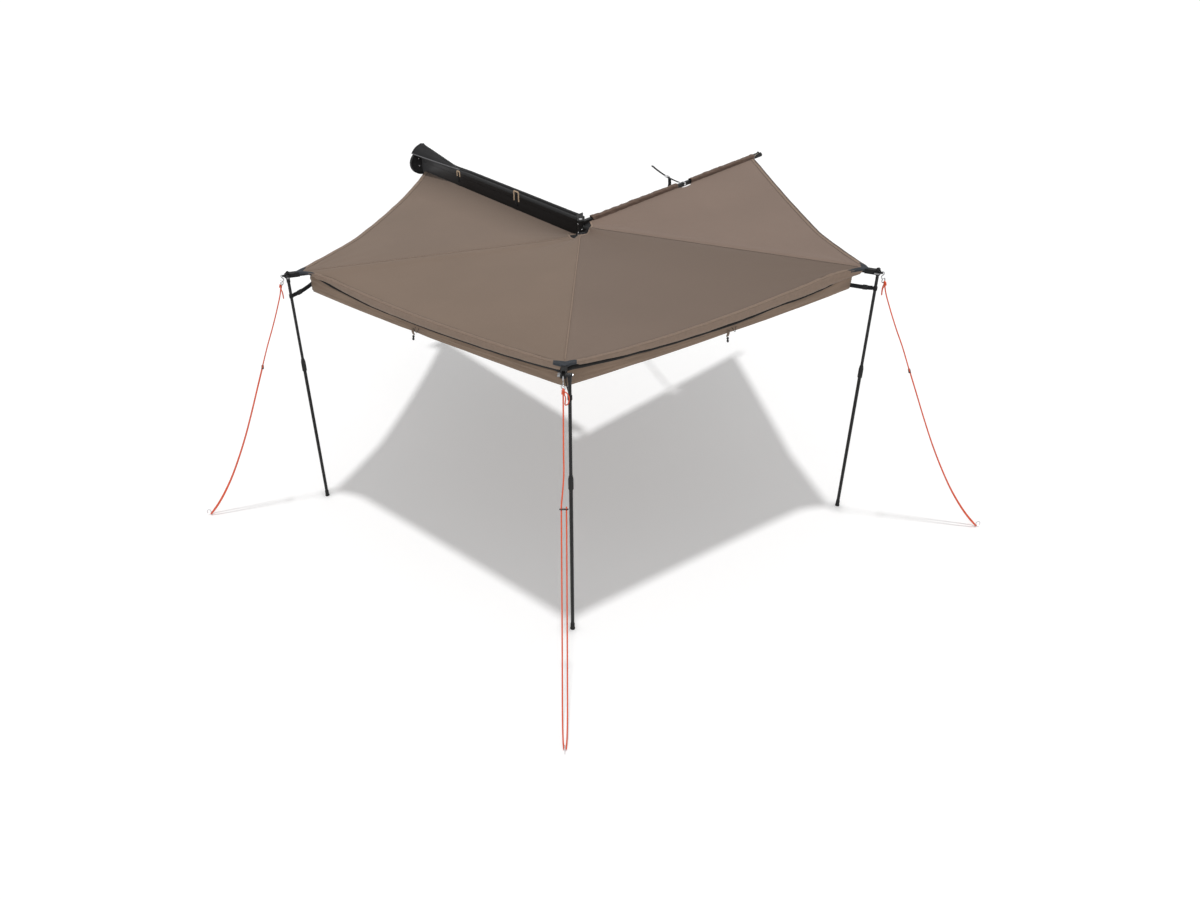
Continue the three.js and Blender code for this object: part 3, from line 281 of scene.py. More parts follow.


# Tone of each canopy panel, partly the cloth's own and partly painted light and shade for how the panel lies to
# the light, and the sleeve's own tone; then where a panel is painted darker as shade, from and to along Y, and
# how far: on panel 1 it is the rail's painted shadow.
SLEEVE_TONE = 5
CLOTH_TONES_AND_SHADING = {
    1: (0.94, 0.94, 0.94),
    2: (0.95, 0.95, 0.94),
    3: (0.93, 0.94, 0.97),
    4: (1.02, 1.01, 1.05),
    SLEEVE_TONE: (0.62, 0.56, 0.56),
}
PAINTED_PANEL_SHADE = {3: (-1.6, 0.6, 0.75), 1: (-0.46, -0.06, 0.72)}


@finish
def canopy_cloth(panel):
    """Coated taupe canvas: a fine weave, a slow cloudiness, a slightly different tone on each panel that is
    partly painted light and shade, and painted shade along Y on panels 1 and 3.
    """
    base = np.array(bpy.context.scene.awning_colours.canopy) * CLOTH_TONES_AND_SHADING[panel]
    made = Finish("cloth", 0.86, sheen_weight=0.12, specular_ior_level=0.25)
    cloud = made.ranged(made.noise(1.6, 4), 0.3, 0.7)
    tone = made.mixed(cloud, shaded(base, 0.955), shaded(base, 1.045))
    fleck = made.ranged(made.noise(420, 2), 0.35, 0.65)
    tone = made.mixed(fleck, tone, made.mixed(cloud, shaded(base, 0.90), shaded(base, 0.98)))
    # Painted shade: the panel darkens along Y, on panel 1 as the rail's shadow.
    if panel in PAINTED_PANEL_SHADE:
        start, end, share = PAINTED_PANEL_SHADE[panel]
        tone = made.mixed(made.ranged(made.axis(1), start, end), tone, shaded(base, share))
    made.colour(tone)
    made.bump(made.reckon("MULTIPLY", made.bands(0.0011), made.bands(0.0011, 90)), 0.00012, 0.35)
    made.bump(made.noise(9, 5), 0.004, 0.12)
    return made


@finish
def valance_cloth():
    """The canopy cloth rolled up, with a painted highlight along the creases' crests and painted shade between
    the turns.
    """
    base = np.array(bpy.context.scene.awning_colours.canopy) * np.array([1.07, 1.05, 1.0])
    made = Finish("roll", 0.84, sheen_weight=0.12, specular_ior_level=0.25)
    # Painted highlight and shade: stretched noise that lightens and darkens the roll.
    crease = made.ranged(made.noise(34, 4, (0.12, 0.12, 1)), 0.3, 0.7)
    made.colour(made.mixed(crease, shaded(base, 0.86), shaded(base, 1.10)))
    made.bump(made.noise(70, 4, (0.1, 0.1, 1)), 0.0035, 0.5)
    return made


@finish
def trim_cloth(share, cool=1.0):
    """Binding, tape and hems cut from the canopy cloth or its webbing, a share lighter or darker; the lighter
    turned hem and the seams' tones over the arms are painted highlight and painted shade.
    """
    base = np.array(bpy.context.scene.awning_colours.canopy) * share * np.array([1, 1, cool])
    made = Finish("trim", 0.82, sheen_weight=0.1, specular_ior_level=0.25)
    made.colour(made.mixed(made.ranged(made.noise(55, 3), 0.3, 0.7), shaded(base, 0.93), shaded(base, 1.06)))
    made.bump(made.bands(0.0016), 0.00025, 0.5)
    return made


@finish
def webbing(red, green, blue):
    """Flat woven webbing: a rib across it every two millimetres, a painted sheen on the raised threads and
    painted shade between the ribs.
    """
    made = Finish("webbing", 0.78, sheen_weight=0.08, specular_ior_level=0.15)
    weave = made.reckon("MULTIPLY_ADD", made.bands(0.0021, 90), 0.6, made.bands(0.0030, 45))
    base = (red, green, blue)
    # The noise makes the painted sheen on the raised threads patchy, and lighter too where they are worn.
    worn = made.ranged(made.noise(30, 4), 0.35, 0.7)
    raised = made.mixed(worn, base, shaded(base, 1.3))
    # Painted shade in the troughs between the ribs, painted sheen on the raised threads.
    made.colour(made.mixed(made.ranged(weave, 0.3, 1.3), shaded(base, 0.7), raised))
    made.bump(weave, 0.0004, 0.6)
    return made


@finish
def cover_cloth():
    """Heavy coated black cloth with a dull shine along its folds."""
    made = Finish("cover", 0.7, specular_ior_level=0.16)
    cloud = made.ranged(made.noise(7, 5), 0.3, 0.7)
    made.colour(made.mixed(cloud, (0.0135, 0.0135, 0.014), (0.021, 0.021, 0.022)))
    made.rough(made.noise(3, 4), 0.48, 0.66)
    made.bump(made.noise(700, 2, coords="UV"), 0.0002, 0.35)
    made.bump(made.noise(11, 5, (0.35, 1, 1)), 0.006, 0.22)
    return made


@finish
def extrusion():
    """Black anodised extrusion with the long fine lines that the die leaves, and a painted highlight that greys
    it towards the front end.
    """
    made = Finish("extrusion", 0.42, 0.05, specular_ior_level=0.22)
    lines = made.noise(160, 3, (0.012, 1, 1))
    tone = made.mixed(made.ranged(lines, 0.35, 0.65), (0.010, 0.010, 0.0105), (0.014, 0.014, 0.015))
    # Painted highlight: the rail turns lighter grey towards its front end.
    made.colour(made.mixed(made.ranged(made.axis(0), -0.35, -1.0), tone, (0.075, 0.075, 0.077)))
    made.rough(made.noise(2.5, 4), 0.36, 0.48)
    made.bump(lines, 0.0002, 0.25)
    return made


@finish
def tube_finish(tone):
    """Anodised tube: satin dark grey with fine drawn lines along its length and faint rubs."""
    made = Finish("tube", 0.42, 0.5, specular_ior_level=0.3)
    base = shaded((1.0, 1.0, 1.04), tone)
    rub = made.ranged(made.noise(18, 5), 0.5, 0.78)
    made.colour(made.mixed(rub, base, shaded(base, 1.6)))
    made.rough(made.noise(45, 3), 0.34, 0.5)
    made.bump(made.noise(900, 2), 0.00008, 0.3)
    return made


@finish
def moulded(tone):
    """Moulded plastic or rubber with a spark-eroded grain."""
    made = Finish("moulded", 0.6, specular_ior_level=0.22)
    base = shaded((1.0, 1.0, 1.02), tone)
    made.colour(made.mixed(made.ranged(made.noise(24, 4), 0.3, 0.7), base, shaded(base, 1.35)))
    made.bump(made.noise(1400, 3), 0.00025, 0.4)
    return made


@finish
def elastic_cord():
    """Pale elastic cord with a woven jacket."""
    made = Finish("elastic", 0.8, sheen_weight=0.1)
    weave = made.bands(0.0018, 40)
    made.colour(made.mixed(weave, (0.42, 0.37, 0.28), (0.62, 0.56, 0.45)))
    made.bump(weave, 0.0003, 0.5)
    return made


@finish
def metal(tone, roughness, metallic):
    """Plain coated or bare metal with a fine grain and faint handling marks."""
    base = shaded((1, 1, 1.02), tone)
    made = Finish("metal", roughness, metallic, specular_ior_level=0.5 if metallic > 0.9 else 0.18)
    marks = made.noise(14, 5)
    made.colour(made.mixed(made.ranged(marks, 0.35, 0.75), base, shaded(base, 1.35)))
    made.rough(made.noise(60, 4), roughness * 0.85, roughness * 1.2)
    made.bump(made.noise(1800, 2), 0.0001, 0.3)
    return made


# Shapes
def catmull(points, steps):
    """A smooth route through the points, with the same number of steps between each two."""
    rows = np.array(points, float)
    padded = np.vstack([2 * rows[0] - rows[1], rows, 2 * rows[-1] - rows[-2]])
    made = []
    for i in range(1, len(rows)):
        p0, p1, p2, p3 = padded[i - 1 : i + 3]
        knots = [0.0]
        for a, b in ((p0, p1), (p1, p2), (p2, p3)):
            knots.append(knots[-1] + max(np.linalg.norm(b - a), 1e-9) ** 0.5)
        t0, t1, t2, t3 = knots
        m1 = (t2 - t1) * ((p1 - p0) / (t1 - t0) - (p2 - p0) / (t2 - t0) + (p2 - p1) / (t2 - t1))
        m2 = (t2 - t1) * ((p2 - p1) / (t2 - t1) - (p3 - p1) / (t3 - t1) + (p3 - p2) / (t3 - t2))
        for s in np.arange(steps) / steps:
            made.append(
                (2 * s**3 - 3 * s**2 + 1) * p1
                + (s**3 - 2 * s**2 + s) * m1
                + (3 * s**2 - 2 * s**3) * p2
                + (s**3 - s**2) * m2
            )
    made.append(rows[-1])
    return np.array(made)


def run_length(points):
    """How long a route is."""
    return float(np.linalg.norm(np.diff(points, axis=0), axis=1).sum())


def mesh_piece(name, points, faces, finish, uvs=None):
    """A mesh object at the origin, from its points and faces; uvs holds one pair per face corner."""
    mesh = bpy.data.meshes.new(name)
    mesh.from_pydata([tuple(p) for p in points], [], [tuple(f) for f in faces])
    if uvs is not None:
        layer = mesh.uv_layers.new(name="UVMap")
        layer.data.foreach_set("uv", np.array(uvs, np.float32).ravel())
    mesh.polygons.foreach_set("use_smooth", [True] * len(mesh.polygons))
    return placed(name, mesh, finish)


def placed(name, data, finish=None):
    """Puts a mesh, lamp or camera into the scene as an object at the origin."""
    if finish is not None:
        data.materials.append(finish)
    made = bpy.data.objects.new(name, data)
    bpy.context.scene.collection.objects.link(made)
    return made


def rise(height):
    return np.array([0, 0, height])


def unit(vector):
    return vector / np.linalg.norm(vector)


def circle(centre, radius, one, two, angles):
    """Points round a centre, in the plane of two directions."""
    return [centre + radius * (math.cos(a) * one + math.sin(a) * two) for a in angles]


def smooth(value):
    return value * value * (3 - 2 * value)


def ramp(value, start, width):
    """0 up to a start and 1 from a width past it on."""
    return min(1, max(0, (value - start) / width))


def put(piece, body, stands_for=None):
    """Lets a piece ride a body, and hides the frame node that it stands for."""
    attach(piece, body)
    if stands_for:
        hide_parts(stands_for)
    return piece


def tube(name, path, radius, finish, sides=10):
    """A closed round tube along a path, with UV across and along it in metres."""
    path = np.array(path)
    count = len(path)
    ahead = np.gradient(path, axis=0)
    ahead /= np.linalg.norm(ahead, axis=1)[:, None]
    side = np.cross(ahead[0], (0, 0, 1.0))
    if np.linalg.norm(side) < 1e-3:
        side = np.array([1.0, 0, 0])
    points, faces, uvs = [], [], []
    along = np.concatenate([[0], np.cumsum(np.linalg.norm(np.diff(path, axis=0), axis=1))])
    for i in range(count):
        side = side - ahead[i] * (side @ ahead[i])
        side /= np.linalg.norm(side)
        up = np.cross(side, ahead[i])
        points += circle(path[i], radius, side, up, [math.tau * k / sides for k in range(sides)])
    girth = math.tau * radius
    for i in range(count - 1):
        for k in range(sides):
            n = (k + 1) % sides
            faces.append((i * sides + k, (i + 1) * sides + k, (i + 1) * sides + n, i * sides + n))
            u0, u1 = girth * k / sides, girth * (k + 1) / sides
            uvs += [(u0, along[i]), (u0, along[i + 1]), (u1, along[i + 1]), (u1, along[i])]
    for start, ring in ((0, range(sides)), (count - 1, range(sides - 1, -1, -1))):
        faces.append([start * sides + k for k in ring])
        uvs += [(girth * k / sides, along[start]) for k in ring]
    return mesh_piece(name, points, faces, finish, uvs)


def dress(node, material):
    """Gives a frame node its finish."""
    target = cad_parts[node]
    target.data.materials.clear()
    target.data.materials.append(material)


# Places on the arms
def heading(i):
    return SPREAD * (i + 1)


def outward(i):
    """The way arm i points, counted from 0."""
    return np.array([-math.cos(heading(i)), -math.sin(heading(i)), 0.0])


def sideways(i):
    """The way from arm i towards the panel on its leg's side."""
    return np.array([math.sin(heading(i)), -math.cos(heading(i)), 0.0])


def arm_point(i, radius, side, z):
    return PIN + outward(i) * radius + sideways(i) * side + rise(z)


def arm_level(i, radius):
    """Height of arm i's axis at a distance from the pin."""
    return ARM_LEVELS[i] + ARM_SLOPE * radius


def tip_level(i):
    return arm_level(i, TIP_RADII[i])


def side_line(k):
    """Start, direction and inward side of the line that panel edge k lies on: 0 is the rail, n is arm n."""
    if k == 0:
        return np.array([PIN[0], RAIL_FACE, 0]), np.array([-1.0, 0, 0]), np.array([0, -1.0, 0])
    return PIN.copy(), outward(k - 1), sideways(k - 1)


def arm_top(i, radius):
    """Height of the cloth that lies on arm i."""
    return ARM_LEVELS[i] + ARM_HALF / math.cos(math.atan(ARM_SLOPE)) + 0.0015 + ARM_SLOPE * radius


def side_height(k, point):
    """Height of panel edge k abreast of a point; the sleeve's edge lies lower on arm 4."""
    if k == 0:
        return TRACK_LEVEL
    reach = (point - PIN)[:2] @ outward(k - 1)[:2]
    return arm_top(k - 1, reach) - (0.022 if k == 4 else 0)


def hem_drop(p, share):
    return float(np.interp(share, *HEM_DROPS[p]))


def corner(k):
    """The canopy's outer corner on panel edge k, on the level."""
    if k == 0:
        return RAIL_CORNER.copy()
    return arm_point(k - 1, LAST_CORNER if k == 4 else CORNER, 0, 0) * (1, 1, 0)


def stand_out(k, away, kind):
    """How far the canopy's corner at arm k stands out, at a distance from the arm."""
    wide, power = HORNS["middle" if k == 2 else kind]
    return (TIP_RADII[k - 1] - PATCH_REACHES[k - 1] - CORNER) * max(0, 1 - away / wide) ** power


def on_ring(k, sign, distance):
    """The point of the hub ring at a distance from panel edge k, to one side of it."""
    start, along, inward = side_line(k)
    off = (start - PIN) @ inward * sign + distance
    return PIN + inward * sign * off + along * math.sqrt(RINGS[k] ** 2 - off**2)


def soft(value):
    """Smooth noise from -1 to 1 at a place given by up to three numbers."""
    place = list(value) + [0.0] * (3 - len(value))
    return noise.noise(Vector(place))


class Panel:
    """One canopy panel as a grid of points, rows from the hub ring out to the hem and columns across."""

    def __init__(self, p):
        self.p, self.skirted = p, p in (1, 2)
        (self.from_a, _, self.in_a), (self.from_b, _, self.in_b) = side_line(p), side_line(p + 1)
        self.corner, self.beside = corner(p), LEG_REACH if p > 0 else FLAT_HALF
        self.chord = corner(p + 1) - self.corner
        self.span_a, self.span_b = self.chord @ self.in_a, self.chord @ self.in_b
        run, back = unit(self.chord), PIN - self.corner
        self.bow = unit(back - (back @ run) * run)
        columns = self.columns()
        self.shares = np.array([share for _, share, _ in columns])
        self.drops = [self.drop(share, away) for _, share, away in columns]
        self.rows = np.concatenate(
            [np.linspace(0, 0.1, 9)[:-1], np.linspace(0.1, 0.93, 44)[:-1], np.linspace(0.93, 1, 12)]
        )
        self.grid = np.zeros((len(self.rows), len(columns), 3))
        for j, (ring, share, _) in enumerate(columns):
            outer = self.hem_place(share)
            for i, t in enumerate(self.rows):
                self.grid[i, j] = self.laid(ring + (outer - ring) * t, t)

    def columns(self):
        """Each column's place on the ring, share across and distance from the nearer edge."""
        p = self.p
        last = EDGE_STEPS[::-1] if p < 3 else SLEEVE_STEPS
        near = [(on_ring(p, 1, d * 0.6), d / self.span_a, d) for d in EDGE_STEPS]
        far = [(on_ring(p + 1, -1, d * 0.6), 1 - d / self.span_b, d) for d in last]
        r0, r1 = on_ring(p, 1, PATCH_HALF * 0.6) - PIN, on_ring(p + 1, -1, PATCH_HALF * 0.6) - PIN
        a0, a1 = math.atan2(r0[1], r0[0]), math.atan2(r1[1], r1[0])
        a1 += math.tau if a1 < a0 else 0
        middle = []
        for c in range(1, MIDDLE_COLUMNS):
            t = c / MIDDLE_COLUMNS
            a = a0 + (a1 - a0) * t
            reach = RINGS[p] + (RINGS[p + 1] - RINGS[p]) * ramp(t, 0.3, 0.5)
            share = PATCH_HALF / self.span_a * (1 - t) + (1 - PATCH_HALF / self.span_b) * t
            middle.append((PIN + reach * np.array([math.cos(a), math.sin(a), 0]), share, PATCH_HALF))
        return near + middle + far

    def hem_place(self, share):
        """The level place of the hem at a share across, bowed and reaching out to the tips."""
        outer = self.corner + self.chord * share + self.bow * PANEL_BOWS[self.p] * 4 * share * (1 - share)
        for k, away in ((self.p, share * self.span_a), (self.p + 1, (1 - share) * self.span_b)):
            if 0 < k < 4:
                outer = outer + outward(k - 1) * stand_out(k, away, "skirted" if self.skirted else "free")
        return outer

    def drop(self, share, away):
        """Depth of the turned-down hem, none to speak of beside an arm and where its folded leg passes."""
        skirt = ramp(away, FLAT_HALF, 0.010) if 0 < self.p + (share > 0.5) < 4 else 1
        if share * self.span_a < self.beside:
            skirt = 0
        full = hem_drop(self.p, share) if self.skirted else FREE_HEM
        return PATCH_DROP + (full - PATCH_DROP) * (skirt if self.skirted else 1)

    def laid(self, point, t):
        """Gives a level place, a share of the way out, its height on the cloth."""
        p = self.p
        da, db = (point - self.from_a) @ self.in_a, -(point - self.from_b) @ self.in_b
        s = ramp(da, self.beside, da + db - self.beside - FLAT_HALF)
        mix = smooth(s)
        base = side_height(p, point) * (1 - mix) + side_height(p + 1, point) * mix
        reach = np.linalg.norm((point - PIN)[:2])
        if p == 3 and db < NOTCH_FADE:
            notch = math.exp(-((abs(reach - NOTCH_AT) / NOTCH_HALF) ** 4))
            point[:2] += sideways(3)[:2] * -NOTCH_DEPTH * notch * (1 - db / NOTCH_FADE)
        point[2] = base - PANEL_SAGS[p] * (reach / ARM_REACH) ** 2 * 4 * s * (1 - s) + 0.0014
        point[2] += self.wrinkle(point, s, da - self.beside + FLAT_HALF, db, t)
        if p > 0:
            up, down = smooth(ramp(da, FLAT_HALF, 0.017)), smooth(ramp(da, self.beside, 0.055))
            point[2] += LEG_ROOM * up * (1 - down)
        point[2] += 0.0035 * min(1, max(0, (0.150 - reach) / 0.05))
        return point

    def wrinkle(self, point, s, da, db, t):
        """Small folds: fans at the ring and the corners, puckers by the hem and a slow unevenness."""
        p, (x, y) = self.p, point[:2]
        radius = math.hypot(x - PIN[0], y - PIN[1])
        angle = math.atan2(y - PIN[1], x - PIN[0])
        ring_fan = 0.0026 * math.exp(-(radius - 0.09) / 0.22) * soft((angle * 7, radius * 1.5, p))
        uneven = 0.0035 * soft((x * 1.3, y * 1.3, 4 + p)) * min(1, radius)
        lift = ring_fan + uneven
        for k in (p, p + 1):
            away = point - corner(k)
            far = math.hypot(away[0], away[1])
            turn = math.atan2(away[1], away[0])
            corner_fan = soft((turn * 5.5, far * 0.8, 9 + k + 3 * p)) * min(1, far / 0.12)
            lift += 0.0060 * math.exp(-far / 0.38) * corner_fan
        edge = 1 - t
        puckers, gathers = soft((s * 17, edge * 9, 20 + p)), soft((s * 31, edge * 12, 30 + p))
        lift += 0.0030 * math.exp(-edge / 0.028) * puckers + 0.0016 * math.exp(-edge / 0.10) * gathers
        if p == 2:
            pull = math.exp(-(((s - 0.9) / 0.07) ** 2)) * math.exp(-edge / 0.05)
            lift += 0.0075 * pull * soft((s * 55 - edge * 40, 3.3, 7.7))
        return lift * max(0, min(1, min(da, db) / 0.05))

    def at(self, share, row):
        """The point on the cloth at a share across and a share of the way out, and the upward normal there."""
        j = np.clip(np.searchsorted(self.shares, share) - 1, 0, len(self.shares) - 2)
        i = np.clip(np.searchsorted(self.rows, row) - 1, 0, len(self.rows) - 2)
        u = np.clip((share - self.shares[j]) / (self.shares[j + 1] - self.shares[j]), 0, 1)
        v = np.clip((row - self.rows[i]) / (self.rows[i + 1] - self.rows[i]), 0, 1)
        g = self.grid
        a, b, c, d = g[i, j], g[i, j + 1], g[i + 1, j], g[i + 1, j + 1]
        point = (a * (1 - u) + b * u) * (1 - v) + (c * (1 - u) + d * u) * v
        across = (b - a) * (1 - v) + (d - c) * v
        out = (c - a) * (1 - u) + (d - b) * u
        normal = unit(np.cross(across, out))
        return point, normal if normal[2] > 0 else -normal

    def track(self, row, start, end, count):
        """Points and normals across the panel, on one row."""
        return [self.at(start + (end - start) * k / count, row) for k in range(count + 1)]

    def seam(self, share, start, end, count):
        """Points and normals out along the panel, at one share across."""
        return [self.at(share, start + (end - start) * k / count) for k in range(count + 1)]


def grid_piece(name, rings, finish, uvs=None, closed=False):
    """A sheet from rows of points, with UV in metres unless other pairs are given for the points."""
    rings = np.array(rings)
    uvs = metres(rings) if uvs is None else uvs
    n, m = rings.shape[:2]
    points = rings.reshape(-1, 3)
    faces, corner_uvs = [], []
    flat = np.array(uvs).reshape(n, m + (1 if closed else 0), 2)
    for i in range(n - 1):
        for j in range(m if closed else m - 1):
            k = (j + 1) % m
            faces.append((i * m + j, i * m + k, (i + 1) * m + k, (i + 1) * m + j))
            corner_uvs += [flat[i, j], flat[i, j + 1], flat[i + 1, j + 1], flat[i + 1, j]]
    return mesh_piece(name, points, faces, finish, corner_uvs)


def thicken(piece, thickness):
    """Gives a sheet its thickness, evenly to both sides."""
    wall = piece.modifiers.new("thickness", "SOLIDIFY")
    wall.thickness = thickness
    wall.offset = 0.0
    wall.use_even_offset = False
    return settle(piece)


def settle(piece):
    """Turns the modifiers' result into the piece's own mesh."""
    graph = bpy.context.evaluated_depsgraph_get()
    shown = piece.evaluated_get(graph)
    mesh = bpy.data.meshes.new_from_object(shown, preserve_all_data_layers=True, depsgraph=graph)
    old = piece.data
    piece.modifiers.clear()
    piece.data = mesh
    mesh.name = piece.name
    bpy.data.meshes.remove(old)
    return piece


def capped(name, rings, finish):
    """A closed bar from rings of points, with UV in metres round and along it."""
    rings = np.array(rings)
    n, m = rings.shape[:2]
    points = rings.reshape(-1, 3)
    around = np.concatenate([rings, rings[:, :1]], 1)
    u = np.concatenate([np.zeros((n, 1)), np.cumsum(np.linalg.norm(np.diff(around, axis=1), axis=2), 1)], 1)
    centre = rings.mean(1)
    v = np.concatenate([[0], np.cumsum(np.linalg.norm(np.diff(centre, axis=0), axis=1))])
    faces, uvs = [], []
    for i in range(n - 1):
        for j in range(m):
            k = (j + 1) % m
            faces.append((i * m + j, i * m + k, (i + 1) * m + k, (i + 1) * m + j))
            uvs += [(u[i, j], v[i]), (u[i, j + 1], v[i]), (u[i + 1, j + 1], v[i + 1]), (u[i + 1, j], v[i + 1])]
    for i, order in ((0, range(m - 1, -1, -1)), (n - 1, range(m))):
        faces.append([i * m + j for j in order])
        uvs += [(u[i, j], v[i]) for j in order]
    made = mesh_piece(name, points, faces, finish, uvs)
    return outward_faces(made)


def outward_faces(piece):
    """Turns the faces of a closed piece outwards."""
    shape = bmesh.new()
    shape.from_mesh(piece.data)
    bmesh.ops.recalc_face_normals(shape, faces=shape.faces)
    shape.to_mesh(piece.data)
    shape.free()
    return piece


def sharpen(piece):
    """Smooth faces, with a hard line kept where they meet at more than 50 degrees."""
    piece.data.set_sharp_from_angle(angle=math.radians(50))
    return piece


def frames(path, up):
    """Forward, side and upright directions along a path, from one or many up vectors."""
    path = np.array(path)
    ahead = np.gradient(path, axis=0)
    ahead /= np.linalg.norm(ahead, axis=1)[:, None]
    ups = np.broadcast_to(np.array(up, float), path.shape)
    side = np.cross(ahead, ups)
    side /= np.linalg.norm(side, axis=1)[:, None]
    return ahead, side, np.cross(side, ahead)


def band(name, path, up, width, height, finish, lift=0.0):
    """A flat band along a path with eased edges; up is the way its face looks."""
    path = np.array(path)
    _, side, tall = frames(path, up)
    w, h, e = width / 2, height, min(height / 2, width * 0.2)
    section = [(-w, 0), (-w, h * 0.6), (-w + e, h), (0, h * 1.05)]
    section += [(w - e, h), (w, h * 0.6), (w, 0), (0, -0.0002)]
    rings = [[p + s * a + t * (lift + b) for a, b in section] for p, s, t in zip(path, side, tall)]
    return sharpen(capped(name, rings, finish))


def band_on(name, track, width, height, finish):
    """A band that lies on the cloth along a track of points and normals."""
    path, ups = zip(*track)
    return band(name, path, ups, width, height, finish, lift=0.0005)


def stitch_tree(name, finish):
    """Geometry nodes that set a row of stitches along a curve."""
    tree = bpy.data.node_groups.new(name, "GeometryNodeTree")
    face = tree.interface
    face.new_socket("Geometry", in_out="INPUT", socket_type="NodeSocketGeometry")
    sizes = (("Pitch", 0.006, 0.001), ("Stitch length", 0.004, 0.0005), ("Thread", 0.0007, 0.0001))
    for words, value, low in sizes:
        socket = face.new_socket(words, in_out="INPUT", socket_type="NodeSocketFloat")
        socket.default_value, socket.min_value = value, low
    face.new_socket("Geometry", in_out="OUTPUT", socket_type="NodeSocketGeometry")
    given, result = tree.nodes.new("NodeGroupInput"), tree.nodes.new("NodeGroupOutput")
    kinds = ("MeshToCurve", "ResampleCurve", "MeshCylinder", "InstanceOnPoints", "RealizeInstances")
    made = [tree.nodes.new(f"GeometryNode{kind}") for kind in (*kinds, "SetMaterial", "InputTangent")]
    curve, spaced, thread, place, real, paint, tangent = made
    turn = tree.nodes.new("FunctionNodeAlignRotationToVector")
    spaced.mode, turn.axis = "LENGTH", "Z"
    thread.inputs["Vertices"].default_value = 4
    paint.inputs["Material"].default_value = finish
    for source, target in (
        (given.outputs["Geometry"], curve.inputs[0]),
        (curve.outputs[0], spaced.inputs["Curve"]),
        (given.outputs["Pitch"], spaced.inputs["Length"]),
        (given.outputs["Stitch length"], thread.inputs["Depth"]),
        (given.outputs["Thread"], thread.inputs["Radius"]),
        (tangent.outputs[0], turn.inputs["Vector"]),
        (spaced.outputs[0], place.inputs["Points"]),
        (thread.outputs["Mesh"], place.inputs["Instance"]),
        (turn.outputs[0], place.inputs["Rotation"]),
        (place.outputs[0], real.inputs[0]),
        (real.outputs[0], paint.inputs["Geometry"]),
        (paint.outputs[0], result.inputs[0]),
    ):
        tree.links.new(source, target)
    return tree


# Radius of the sewing thread.
THREAD = 0.0006


def stitches(name, lines, finish, pitch=0.006):
    """Rows of stitches along lines of points, as one plain mesh."""
    key = f"stitch_row_{finish.name}"
    tree = bpy.data.node_groups.get(key) or stitch_tree(key, finish)
    points, edges = [], []
    for line in lines:
        start = len(points)
        points += [tuple(p) for p in line]
        edges += [(start + k, start + k + 1) for k in range(len(line) - 1)]
    mesh = bpy.data.meshes.new(name)
    mesh.from_pydata(points, edges, [])
    piece = placed(name, mesh)
    rows = piece.modifiers.new("stitches", "NODES")
    rows.node_group = tree
    inputs = {s.name: s.identifier for s in tree.interface.items_tree if s.in_out == "INPUT"}
    rows[inputs["Pitch"]] = pitch
    rows[inputs["Stitch length"]] = pitch * 0.66
    rows[inputs["Thread"]] = THREAD
    return settle(piece)


def metres(rings):
    """UV for a sheet: metres along each row and down the columns."""
    rings = np.array(rings)
    across = np.cumsum(np.linalg.norm(np.diff(rings, axis=1), axis=2), 1)
    across = np.concatenate([np.zeros((len(rings), 1)), across], 1)
    down = np.cumsum(np.linalg.norm(np.diff(rings, axis=0), axis=2), 0)
    down = np.concatenate([np.zeros((1, rings.shape[1])), down])
    middle = across[:, -1:] / 2
    return np.stack([across - middle, down], 2)


def area_of(piece):
    """The area of all of a piece's faces."""
    return sum(face.area for face in piece.data.polygons)


COVER_LENGTH = 1.98
# The built panels, and the least share of its flat size that a sheet's area may be.
PANELS = []
LEAST_SHARE = 0.31


class AWNING_OT_canopy(bpy.types.Operator):
    """Make the four canopy panels with their sag, folds and turned hems"""

    bl_idname = "awning.canopy"
    bl_label = "Canopy panels"

    def execute(self, context):
        thickness = context.scene.awning_sizes.cloth
        PANELS[:] = [Panel(p) for p in range(4)]
        for panel in PANELS:
            n = panel.p + 1
            rings = list(panel.grid)
            outline = panel.grid[-1]
            inward = (panel.grid[-4] - outline) * (1, 1, 0)
            inward /= np.linalg.norm(inward, axis=1)[:, None]
            for step in (0.05, 0.2, 0.45, 0.72, 1.0):
                turned = outline.copy()
                for j, drop in enumerate(panel.drops):
                    ripple = 0.0016 * soft((panel.shares[j] * 26, step * 2, 40 + n)) * step
                    tuck = 0.0012 + (0.004 if panel.skirted else 0.003) * step
                    turned[j] += inward[j] * (tuck + ripple)
                    turned[j, 2] -= (drop - 0.0014) * step
                rings.append(turned)
            piece = grid_piece(f"canopy_panel_{n}", rings, canopy_cloth(n))
            # Painted highlight: the turned-down hem gets a lighter copy of the cloth to lift its shaded,
            # upright face.
            piece.data.materials.append(trim_cloth(1.14))
            across = len(panel.shares) - 1
            for face in piece.data.polygons[(len(panel.rows) - 1) * across :]:
                face.material_index = 1
            gather(thicken(piece, thickness), n, f"canopy_{n}")
            if n > 1:
                self.facing(panel)
        return {"FINISHED"}

    def facing(self, panel):
        """A black facing inside the ring, from its binding in to the stacked knuckles."""
        n = panel.p + 1
        edge = panel.grid[0][np.linspace(0, len(panel.shares) - 1, 40).astype(int)]
        rings = []
        for share in (1.04, 0.9, 0.75, 0.6, 0.0):
            away = edge - PIN
            flat = np.linalg.norm(away[:, :2], axis=1)
            reach = FACING + (flat - FACING) * share
            ring = PIN + away * (1, 1, 0) * (reach / flat)[:, None] + away * (0, 0, 1)
            fold = [0.0012 * soft((k * 0.35, share * 3, n)) for k in range(len(edge))]
            rings.append(ring + np.array([rise(f - 0.0016) for f in fold]))
        piece = grid_piece(f"ring_facing_{n}", rings, webbing(0.016, 0.016, 0.017))
        gather(thicken(piece, 0.0012), n)


